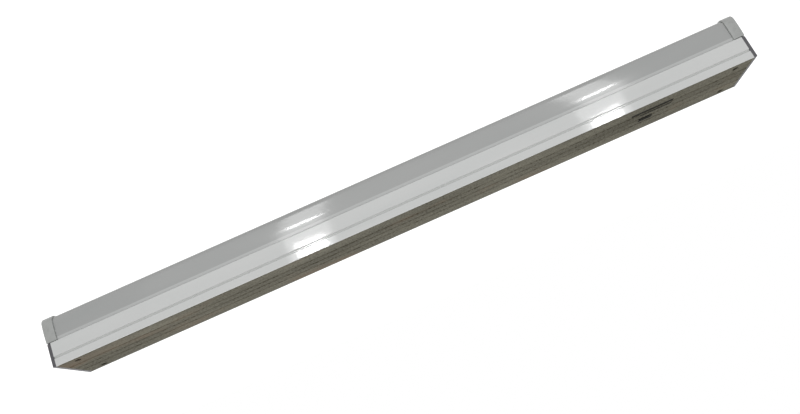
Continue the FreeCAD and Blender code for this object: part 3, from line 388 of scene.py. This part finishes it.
def extruded_shell(name, outer, inner, stations):
    """A thin-walled extrusion along X. The section's outer path and its inner path, point against
    point, make one closed ring, which is repeated at each station; quads from the outer to the
    inner path close both ends."""
    ring = np.vstack([outer, inner[::-1]])
    count = len(ring)
    points = np.column_stack([np.repeat(stations, count), np.tile(ring, (len(stations), 1))])
    walls = grid_faces(len(stations), count, closed=True)
    first = np.arange(len(outer) - 1)
    end = np.stack([first, first + 1, count - 2 - first, count - 1 - first], axis=-1)
    far_end = end[:, ::-1] + count * (len(stations) - 1)
    return new_piece(name, points, np.vstack([walls, end, far_end]).tolist())


def both_sides(half):
    """A half section from its edge to the middle plane, then its mirror image back to the edge."""
    half = np.asarray(half, float)
    return np.vstack([half, (half * (-1, 1))[::-1]])


def wall_corners(side, groove, shelf, foot, rail, web):
    """Corners of one face of the body's right half: edge, snap groove, shelf, rail and web. The
    groove is given by its middle and by half the widths of its mouth and its floor."""
    level, mouth_half, floor_half = groove
    floor = side - groove_depth
    return [
        (side, body_high.z),
        (side, level + mouth_half),
        (floor, level + floor_half),
        (floor, level - floor_half),
        (side, level - mouth_half),
        (side, shelf),
        (foot, shelf),
        (rail, web),
    ]


def body_section():
    """Outer and inner path of the channel's section; the inner face lies one sheet inside."""
    lean = rail_undercut / (shelf_level - body_low.z) * sheet
    outer_foot = half_width - shelf_width
    outer_rail = outer_foot + rail_undercut
    inner_foot = outer_foot - sheet - lean
    inner_rail = inner_foot + rail_undercut
    outer = wall_corners(
        half_width, groove_outside, shelf_level, outer_foot, outer_rail, body_low.z
    )
    inner = wall_corners(
        half_width - sheet, groove_inside, shelf_level + sheet, inner_foot, inner_rail,
        body_low.z + sheet,
    )
    grooves = [groove_round] * 4
    outer_half = [*grooves, shelf_bend, rail_round, rail_round]
    inner_half = [*grooves, shelf_bend - sheet, rail_round, rail_round]
    outer_path = rounded_path(both_sides(outer), outer_half + outer_half[::-1], lead=bend_lead)
    inner_path = rounded_path(both_sides(inner), inner_half + inner_half[::-1], lead=bend_lead)
    return outer_path, inner_path


def web_holes():
    """Place along, place across and radius of each hole in the web."""
    along = (*board_screws_along, *(-place for place in board_screws_along))
    boards = [(place, board_screws_across) for place in along]
    holes = [(*place, screw_hole) for place in (*boards, *driver_ears, *terminal_feet)]
    return np.array([*holes, (*stud_place, stud_hole), (*bush_place, bush_hole)])


def drill(piece, holes, low, high, turns=48):
    """Cut round holes along Z. Each is the inside of a drum: a ring of points at the low level and
    one at the high level, with one face across each and quads between them."""
    angle = np.linspace(0, 2 * np.pi, turns, endpoint=False)
    circle = np.column_stack([np.cos(angle), np.sin(angle)])
    rings = holes[:, None, :2] + holes[:, None, 2:] * circle
    drums = np.concatenate([np.insert(rings, 2, level, axis=2) for level in (low, high)], axis=1)
    wall = grid_faces(2, turns, closed=True)
    ends = np.arange(2 * turns).reshape(2, turns)
    faces = []
    for number in range(len(holes)):
        first = 2 * turns * number
        faces += (wall + first).tolist() + (ends + first).tolist()
    drills = new_piece("drills", drums.reshape(-1, 3), faces)
    cut = piece.modifiers.new("holes", "BOOLEAN")
    cut.object = drills
    cut.solver = "EXACT"
    drilled = piece.evaluated_get(bpy.context.evaluated_depsgraph_get())
    mesh = bpy.data.meshes.new_from_object(drilled)
    mesh.set_sharp_from_angle(angle=math.radians(smooth_crease))
    piece.modifiers.clear()
    piece.data = mesh
    bpy.data.objects.remove(drills)


def gloss_paint():
    """White stoved paint: a faint orange peel over the slow waves of rolled sheet, and a painted
    shade that darkens the snap groove."""
    material, shader = new_finish("gloss_paint", specular_ior_level=0.42)
    dust = clouds(material, dust_waves, detail=4.0)
    peel = clouds(material, peel_waves, detail=2.0)
    waves = clouds(material, sheet_waves, detail=1.0)
    clean = blend_colours(material, dust, card(*paint_dark), card(*paint_light))
    # Painted shade: a darker band along the snap groove.
    groove_shade = band(material, object_axes(material)["Z"], groove_shade_level, groove_shade_width, groove_shade_soft)
    paint = mix_colours(material, groove_shade, clean, card(*paint_groove_shade))
    rough = spread(material, dust, *paint_roughness)
    surface = combine(material, "ADD", combine(material, "MULTIPLY", peel, peel_share), waves)
    bumps = relief(material, surface, sheet_wave_depth)
    feed(material, shader, base_color=paint, roughness=rough, normal=bumps)
    return material


body_stations = np.linspace(body_low.x, body_high.x, station_count)
body = extruded_shell("white_body", *body_section(), body_stations)
drill(body, web_holes(), body_low.z - sheet, body_low.z + 2 * sheet)
body.data.materials.append(gloss_paint())
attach(body, "root")
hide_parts("body_channel")

# LED boards and their fittings: two strips of aluminium under white solder mask, screwed below the
# web end to end, each with a row of yellow LED packages, and the small plugs that join them.
mask_light = (236, 237, 235)
mask_dark = (224, 226, 223)
phosphor_light = (244, 214, 96)
phosphor_dark = (226, 184, 60)
plug_light = (228, 225, 212)
plug_dark = (216, 212, 197)
plated_light = (176, 176, 170)
plated_dark = (140, 140, 134)
moulded_grain = (800, 800, 800)
roughness_swing = 0.05


def mottled(name, dark, light, waves, roughness, depth, **constants):
    """A finish of two close colours in clouds, with the same clouds as a fine relief."""
    material, shader = new_finish(name, **constants)
    pattern = clouds(material, waves, detail=4.0)
    colour = blend_colours(material, pattern, card(*dark), card(*light))
    rough = spread(material, pattern, roughness - roughness_swing, roughness + roughness_swing)
    bumps = relief(material, pattern, depth)
    feed(material, shader, base_color=colour, roughness=rough, normal=bumps)
    return material


solder_mask = mottled(
    "white_solder_mask", mask_dark, mask_light,
    waves=(60, 90, 90), roughness=0.35, depth=0.01 * mm,
)
phosphor = mottled(
    "yellow_phosphor", phosphor_dark, phosphor_light,
    waves=(900, 900, 900), roughness=0.4, depth=0.02 * mm,
)
plug = mottled(
    "plug_moulding", plug_dark, plug_light,
    waves=moulded_grain, roughness=0.45, depth=0.01 * mm,
)
plated = mottled(
    "plated_screws", plated_dark, plated_light,
    waves=(600, 600, 600), roughness=0.32, depth=0.01 * mm, metallic=0.9,
)
dress(solder_mask, "led_board_left", "led_board_right")
dress(phosphor, "led_chips_left", "led_chips_right")
dress(plug, "board_link", "board_connector")
dress(plated, "board_screws", "driver_screws", "terminal_fixing_screws")

# Driver: a moulded case with a snap cover, screwed to the web by two ears, round a green circuit
# board with its ferrite transformer, two sleeved capacitors and a wound choke.
case_light = (216, 216, 213)
case_dark = (204, 204, 200)
board_light = (34, 112, 66)
board_dark = (22, 88, 50)
ferrite_light = (74, 74, 76)
ferrite_dark = (52, 52, 55)
sleeve_light = (40, 44, 62)
sleeve_dark = (26, 29, 44)
copper_light = (198, 118, 70)
copper_dark = (150, 80, 44)
case = mottled(
    "driver_moulding", case_dark, case_light,
    waves=moulded_grain, roughness=0.5, depth=0.015 * mm,
)
circuit = mottled(
    "green_solder_mask", board_dark, board_light,
    waves=(260, 260, 260), roughness=0.3, depth=0.02 * mm,
)
ferrite = mottled(
    "ground_ferrite", ferrite_dark, ferrite_light,
    waves=(500, 500, 500), roughness=0.6, depth=0.03 * mm,
)
sleeve = mottled(
    "shrunk_sleeve", sleeve_dark, sleeve_light,
    waves=(120, 120, 400), roughness=0.28, depth=0.02 * mm,
)
copper = mottled(
    "enamelled_copper", copper_dark, copper_light,
    waves=(1500, 1500, 300), roughness=0.3, depth=0.1 * mm, metallic=0.8,
)
dress(case, "driver_case", "driver_cover")
dress(circuit, "driver_circuit_board")
dress(ferrite, "driver_transformer")
dress(sleeve, "driver_capacitors")
dress(copper, "driver_choke")

# Mains terminals and earth: a three-pole moulded block with brass screws in its wells, and a
# riveted earth stud of plated steel with a crimped brass ring tag under its nut.
block_light = (222, 219, 206)
block_dark = (210, 206, 191)
brass_light = (206, 176, 104)
brass_dark = (170, 138, 72)
block = mottled(
    "terminal_moulding", block_dark, block_light,
    waves=moulded_grain, roughness=0.45, depth=0.015 * mm,
)
brass = mottled(
    "turned_brass", brass_dark, brass_light,
    waves=(300, 300, 1200), roughness=0.3, depth=0.02 * mm, metallic=1.0,
)
dress(block, "terminal_block")
dress(brass, "terminal_screws", "earth_tag")
dress(plated, "earth_stud", "earth_nut")

# Leads: plain insulated cores from the terminals to the driver and the stud, and the driver's two
# output leads, which pass through a moulded bush in the web to the LED board.
brown_light = (118, 74, 48)
brown_dark = (98, 58, 36)
blue_light = (62, 112, 190)
blue_dark = (44, 88, 164)
red_light = (196, 56, 46)
red_dark = (168, 40, 34)
black_light = (52, 52, 52)
black_dark = (36, 36, 36)
earth_green = (60, 140, 60)
earth_yellow = (222, 204, 60)
stripe_waves = (55, 55, 220)
stripe_wander = 1.5
stripe_edge = (0.45, 0.55)
lead_waves = (90, 500, 500)
lead_roughness = 0.42
lead_depth = 0.01 * mm


def striped_earth():
    """Green insulation with a yellow stripe that wanders along it as the core is twisted."""
    material, shader = new_finish("earth_insulation", roughness=lead_roughness)
    place = object_place(material, stripe_waves)
    inputs = {"Vector": place, "Scale": 1.0, "Distortion": stripe_wander}
    stripe = add_node(material, "ShaderNodeTexWave", inputs).outputs["Fac"]
    green, yellow = card(*earth_green), card(*earth_yellow)
    colour = blend_colours(material, stripe, green, yellow, *stripe_edge)
    bumps = relief(material, clouds(material, moulded_grain), lead_depth)
    feed(material, shader, base_color=colour, normal=bumps)
    return material


def insulation(name, dark, light):
    """Extruded insulation, with the faint marks of the die along it."""
    return mottled(name, dark, light, lead_waves, lead_roughness, lead_depth)


bush = mottled(
    "bush_moulding", black_dark, black_light,
    waves=moulded_grain, roughness=0.5, depth=0.01 * mm,
)
dress(insulation("brown_insulation", brown_dark, brown_light), "live_lead")
dress(insulation("blue_insulation", blue_dark, blue_light), "neutral_lead")
dress(insulation("red_insulation", red_dark, red_light), "led_lead_positive")
dress(insulation("black_insulation", black_dark, black_light), "led_lead_negative")
dress(striped_earth(), "earth_lead")
dress(bush, "lead_bush")

# Cable grommet: a ring of black rubber moulded with a groove, which is pushed into the broken-out
# hole of the right end plate, so that its outer flange lies level with the plate's face.
rubber_light = (58, 57, 55)
rubber_dark = (42, 41, 40)
rubber = mottled(
    "black_rubber", rubber_dark, rubber_light,
    waves=(500, 500, 500), roughness=0.6, depth=0.02 * mm,
)
dress(rubber, "cable_grommet")

# Diffuser: one extrusion of opal plastic whose section is five arcs that run into each other. Its
# feet snap on the body's rails, and a painted highlight makes it paler there, for the light from
# the white steel right behind it; a painted shade darkens it round the bends.
diffuser_low, diffuser_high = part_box("diffuser")
diffuser_half = diffuser_high.y
diffuser_wall = 1.5 * mm
widest_level = -29 * mm
side_radius = 90 * mm
corner_radius = 5 * mm
crown_radius = 180 * mm
hook_height = 0.7 * mm
hook_tip = 25.18 * mm
opal_light = (165, 166, 165)
opal_dark = (158, 160, 159)
# Colour of the painted highlight along the feet.
opal_painted_backlight = (183, 185, 184)
# Colour of the painted shade round the bends.
opal_bend_shade = (140, 142, 140)
opal_roughness = (0.28, 0.36)
haze_waves = (7, 45, 45)
draw_waves = (2, 900, 900)
draw_depth = 0.004 * mm
# Depth and soft edge of the painted highlight along the feet.
backlight_depth = 2.0 * mm
backlight_soft = 0.6 * mm
# Level, width and soft edge of the painted shade round the bends.
bend_shade_level = -39.4 * mm
bend_shade_width = 2.8 * mm
bend_shade_soft = 1.8 * mm


def arc(centre, radius, start, end, steps):
    """Points on a circle from one angle to another."""
    angle = np.linspace(start, end, steps)
    return np.asarray(centre) + radius * np.column_stack([np.cos(angle), np.sin(angle)])


def dome_path(outset, foot, side_steps=28, corner_steps=20, crown_steps=28):
    """The diffuser's outline moved out by the outset, from one foot to the other. The corner arc
    lies inside the side's circle and the crown's circle and touches both, so its centre is where
    two smaller circles about theirs cross."""
    side, corner, crown = side_radius + outset, corner_radius + outset, crown_radius + outset
    side_centre = np.array([diffuser_half + outset - side, widest_level])
    crown_centre = np.array([0.0, crown + diffuser_low.z - outset])
    apart = crown_centre - side_centre
    gap = np.linalg.norm(apart)
    along = ((side - corner) ** 2 - (crown - corner) ** 2 + gap**2) / (2 * gap)
    beside = math.sqrt((side - corner) ** 2 - along**2)
    ahead = apart / gap
    centre = side_centre + ahead * along + np.array([ahead[1], -ahead[0]]) * beside
    side_angle = math.atan2(*(centre - side_centre)[::-1])
    crown_angle = math.atan2(*(centre - crown_centre)[::-1])
    foot_angle = math.asin((foot - widest_level) / side)
    half = np.vstack([
        arc(side_centre, side, foot_angle, side_angle, side_steps)[:-1],
        arc(centre, corner, side_angle, crown_angle, corner_steps)[:-1],
        arc(crown_centre, crown, crown_angle, -math.pi / 2, crown_steps),
    ])
    return np.vstack([half[:-1], (half * (-1, 1))[::-1]])


def diffuser_section():
    """Outer path, and inner path with the snap hooks at its two ends. The hooks add two points to
    each end of the inner path, so the outer one has two more steps on each side."""
    foot = diffuser_high.z
    hook_top = foot - hook_height
    inner = dome_path(-diffuser_wall, hook_top)
    hook = np.array([(hook_tip, foot), (hook_tip, hook_top)])
    inner = np.vstack([hook, inner, (hook * (-1, 1))[::-1]])
    outer = dome_path(0.0, foot, side_steps=30)
    return outer, inner


def opal_plastic():
    """Opal plastic under a smooth skin, with faint draw lines of the die. A painted highlight makes
    it paler along the feet, for the light from the white steel behind it, and a painted shade
    makes it darker round the bends."""
    material, shader = new_finish(
        "opal_plastic",
        specular_ior_level=0.1, coat_weight=0.6, coat_roughness=0.085, coat_ior=1.85,
    )
    haze = clouds(material, haze_waves, detail=2.0)
    lines = clouds(material, draw_waves, detail=2.0)
    height = object_axes(material)["Z"]
    backlight_full = diffuser_high.z - backlight_depth
    # Painted highlight: paler along the feet.
    backlight = spread(material, height, 0.0, 1.0, backlight_full - backlight_soft, backlight_full)
    # Painted shade: darker round the bends.
    bend_shade = band(material, height, bend_shade_level, bend_shade_width, bend_shade_soft)
    opal = blend_colours(material, haze, card(*opal_dark), card(*opal_light))
    bend_shaded = mix_colours(material, bend_shade, opal, card(*opal_bend_shade))
    colour = mix_colours(material, backlight, bend_shaded, card(*opal_painted_backlight))
    rough = spread(material, haze, *opal_roughness)
    bumps = relief(material, lines, draw_depth)
    feed(material, shader, base_color=colour, roughness=rough, normal=bumps)
    return material


diffuser_stations = np.linspace(diffuser_low.x, diffuser_high.x, station_count)
diffuser = extruded_shell("opal_diffuser", *diffuser_section(), diffuser_stations)
diffuser.data.materials.append(opal_plastic())
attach(diffuser, "root")
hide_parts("diffuser")

# Diffuser caps: a collar of grey plastic pushed over each end of the diffuser. It is moulded with a
# flat end wall and a rounded edge, and is open towards the body.
cap_low, cap_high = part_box("diffuser_cap_right")
cap_play = 0.15 * mm
cap_wall = 1.1 * mm
cap_end = 2 * mm
cap_edge = 0.6 * mm
mouth_edge = 0.45 * mm
mouth_round = 0.99 * mouth_edge
cap_light = (172, 174, 172)
cap_dark = (164, 166, 164)


def cap_profile(steps=6):
    """Distance from the cap's end and outset of the skin, from the mouth to the end face: a
    straight skirt between a small rounded mouth and a quarter circle at the end."""
    length = cap_high.x - cap_low.x
    skin = cap_play + cap_wall
    corners = [
        (length, skin - mouth_edge), (length, skin), (0.0, skin), (0.0, skin - 2 * cap_edge)
    ]
    return rounded_path(corners, [mouth_round, cap_edge], steps)[:-1]


def cap_ring(x, outset):
    """The diffuser's outline moved out by the outset, at one place along X."""
    return np.insert(dome_path(outset, cap_high.z), 0, x, axis=1)


def cap_mesh(name, side):
    """Rings of the diffuser's outline, one for each point of the profile, make the skin, and two
    more make the socket. Single faces close the end, the socket's floor, and the strip along the
    foot."""
    skin = [cap_ring(cap_high.x - back, outset) for back, outset in cap_profile()]
    socket = [cap_ring(x, cap_play) for x in (cap_low.x, cap_high.x - cap_end)]
    count = len(socket[0])
    rows = len(skin)
    points = np.vstack(skin + socket) * (side, 1, 1)
    outside = grid_faces(rows, count, closed=False)
    inside = grid_faces(2, count, closed=False) + rows * count
    edge = np.arange(count - 1)
    socket_edge = edge + rows * count
    mouth = np.stack([edge, edge + 1, socket_edge + 1, socket_edge], axis=-1)
    ring = np.arange(count)
    first = np.arange(rows) * count
    last = first + count - 1
    mouth_ends = (rows * count, (rows + 1) * count - 1)
    floor_ends = ((rows + 1) * count, (rows + 2) * count - 1)
    foot_strip = np.array([
        *first, *last[::-1], mouth_ends[1], floor_ends[1], floor_ends[0], mouth_ends[0]
    ])
    singles = [ring + (rows - 1) * count, ring + (rows + 1) * count, foot_strip]
    faces = np.vstack([outside, inside, mouth]).tolist() + [face.tolist() for face in singles]
    return new_piece(name, points, faces)


cap_plastic = mottled(
    "cap_moulding", cap_dark, cap_light,
    waves=(260, 260, 260), roughness=0.3, depth=0.01 * mm, specular_ior_level=0.4,
)
for node, side in (("diffuser_cap_right", 1), ("diffuser_cap_left", -1)):
    cap = cap_mesh(f"{node}_moulding", side)
    cap.data.materials.append(cap_plastic)
    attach(cap, "root")
    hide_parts(node)

# End plates: dark moulded plates with a rim that reaches into the body, held to the mounting
# plate's end lugs by two sunk screws each. A recess in the middle holds the cable knock-out, or
# the grommet in its place.
plate_light = (86, 85, 89)
plate_dark = (70, 69, 73)
moulding = mottled(
    "end_plate_moulding", plate_dark, plate_light,
    waves=(700, 700, 700), roughness=0.42, depth=0.02 * mm,
)
dress(moulding, "end_plate_left", "end_plate_right")

# End plate screws: zinc-plated pan heads with a pressed cross recess. Two go through each end plate
# into the mounting plate's lugs, until their heads lie level with the end plate's face.
screw_middle = -9.5 * mm
screw_spread = 15 * mm
screw_radius = 1.5 * mm
screw_reach = 8 * mm
tip_radius = 0.9 * mm
tip_length = 0.6 * mm
head_radius = 2.8 * mm
head_height = 1.8 * mm
head_dome = 0.45 * mm
head_rings = 42
rim_inset = 0.1 * mm
rim_height = 0.15 * mm
recess_depth = 1.1 * mm
recess_arm = 1.75 * mm
recess_width = 0.34 * mm
recess_slope = 0.22 * mm
screw_crease = 40
screw_weld = 0.0001 * mm


def ease(value):
    """A smooth step from 0 to 1 while the value goes from 0 to 1."""
    share = np.clip(value, 0, 1)
    return share * share * (3 - 2 * share)


def screw_mesh(name, turns=72):
    """Each screw is a profile of radius and height turned about its axis. The head's top falls away
    as a shallow dome, less the recess: a cross whose depth eases in from the edges of its arms."""
    tip = -screw_reach
    shank = [(0.0, tip), (tip_radius, tip), (screw_radius, tip + tip_length)]
    under = [(screw_radius, 0.0), (head_radius - rim_inset, 0.0), (head_radius, rim_height)]
    rings = np.linspace(head_radius, 0.0, head_rings)
    face = np.column_stack([rings, np.full(head_rings, head_height)])
    profile = np.vstack([shank, under, face])
    radius, level = profile[:, :1], profile[:, 1:]
    angle = np.linspace(0, 2 * np.pi, turns, endpoint=False)
    across = radius * np.cos(angle)
    up = radius * np.sin(angle)
    narrow = np.minimum(np.abs(across), np.abs(up))
    long = np.maximum(np.abs(across), np.abs(up))
    inside_width = ease((recess_width - narrow) / recess_slope + 1)
    inside_length = ease((recess_arm - long) / recess_slope + 1)
    hollow = head_dome * (radius / head_radius) ** 2 + recess_depth * inside_width * inside_length
    height = level - np.where(level == head_height, hollow, 0.0)
    one = np.stack([height, across, up], axis=-1).reshape(-1, 3)
    quads = grid_faces(len(profile), turns, closed=True)
    seat = cad_box[1].x - head_height
    points = []
    for end in (1, -1):
        for place in (screw_spread, -screw_spread):
            points.append((one + (seat, 0, 0)) * (end, 1, 1) + (0, place, screw_middle))
    faces = np.vstack([quads + number * len(one) for number in range(len(points))])
    return new_piece(name, np.vstack(points), faces.tolist(), screw_crease, screw_weld)


screws = screw_mesh("end_screws")
screws.data.materials.append(plated)
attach(screws, "root")
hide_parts("end_plate_screws")

# Camera: close to one long side and a little above the back, turned so that the batten rises to the
# right. Its place, turn and focal length are fitted to the long edges and both ends.
photo_width = 800
focal_pixels = 738.4
sensor_width = 36.0
nearest = 0.01
eye = Vector((5.7, -577.7, 166.2)) * mm
aim = Vector((2.9, 0.0, -14.36)) * mm
roll = math.radians(156.02)
camera = bpy.data.objects.new("camera", bpy.data.cameras.new("camera"))
bpy.context.scene.collection.objects.link(camera)
camera.data.sensor_width = sensor_width
camera.data.lens = focal_pixels / photo_width * sensor_width
camera.data.clip_start = nearest
camera.location = eye
camera.rotation_mode = "QUATERNION"
camera.rotation_quaternion = (aim - eye).to_track_quat("-Z", "Y") @ Quaternion((0, 0, 1), roll)
bpy.context.scene.camera = camera

# Studio light: an even white room, a soft light on each side, and two lamps whose mirror images lie
# on the long side. Each of those is a small bright panel in the middle of a tall dim one.
white = (255, 255, 255)
room_level = 0.72
soft_size = (1.6, 1.6)
front_place = Vector((0.0, -1.6, -0.2))
front_power = 2.0
rear_place = Vector((0.3, 1.7, 0.1))
rear_power = 5.0
panel_reach = 3.5
bright_size = (0.085, 0.042)
bright_power = 0.38
dim_size = (0.13, 0.8)
dim_power = 1.3
glints = ((78 * mm, -5.2 * mm), (-173 * mm, -2.8 * mm))


def area_lamp(name, place, size, power):
    """A rectangular lamp that faces the batten."""
    light = bpy.data.lights.new(name, "AREA")
    light.shape = "RECTANGLE"
    light.size, light.size_y = size
    light.energy = power
    lamp = bpy.data.objects.new(name, light)
    bpy.context.scene.collection.objects.link(lamp)
    lamp.location = place
    lamp.rotation_mode = "QUATERNION"
    lamp.rotation_quaternion = (-place).to_track_quat("-Z", "Y")
    lamp.visible_camera = False


def shown_directly(holder):
    """1 for what is seen straight on, mirrored or through glass, and 0 for light that only falls on
    things."""
    ray = add_node(holder, "ShaderNodeLightPath").outputs
    mirrored = combine(holder, "MAXIMUM", ray["Is Glossy Ray"], ray["Is Transmission Ray"])
    return combine(holder, "MAXIMUM", ray["Is Camera Ray"], mirrored)


mirrored_eye = Vector((eye.x, -2 * half_width - eye.y, eye.z))
for number, (along, level) in enumerate(glints, start=1):
    place = mirrored_eye.lerp(Vector((along, -half_width, level)), panel_reach)
    area_lamp(f"bright_panel_{number}", place, bright_size, bright_power)
    area_lamp(f"dim_panel_{number}", place, dim_size, dim_power)
area_lamp("soft_front", front_place, soft_size, front_power)
area_lamp("soft_rear", rear_place, soft_size, rear_power)
world = bpy.data.worlds.new("white_room")
bpy.context.scene.world = world
world.use_nodes = True
background = world.node_tree.nodes["Background"]
background.inputs["Color"].default_value = card(*white)
room = spread(world, shown_directly(world), room_level, 1.0, 0.0, 1.0)
world.node_tree.links.new(room, background.inputs["Strength"])

# Floor: a plain pale sheet with a faint mottling, well below the batten, which hangs over it as it
# would from a ceiling. It glows only where it is seen, so that it adds no light to the batten.
floor_level = -1.3
floor_half = 8.0
floor_glow = 0.8
floor_light = (207, 207, 206)
floor_dark = (203, 203, 203)
floor_corners = np.array([(-1, -1), (1, -1), (1, 1), (-1, 1)]) * floor_half
floor_points = np.insert(floor_corners, 2, floor_level, axis=1)
floor_mesh = bpy.data.meshes.new("floor")
floor_mesh.from_pydata(floor_points.tolist(), [], [(0, 1, 2, 3)])
floor = bpy.data.objects.new("floor", floor_mesh)
bpy.context.scene.collection.objects.link(floor)
pale = mottled(
    "pale_floor", floor_dark, floor_light,
    waves=(6, 6, 6), roughness=0.9, depth=0.1 * mm, emission_color=card(*white),
)
glow = spread(pale, shown_directly(pale), 0.0, floor_glow, 0.0, 1.0)
feed(pale, pale.node_tree.nodes["Principled BSDF"], emission_strength=glow)
floor_mesh.materials.append(pale)

bpy.context.scene.view_settings.view_transform = "Standard"
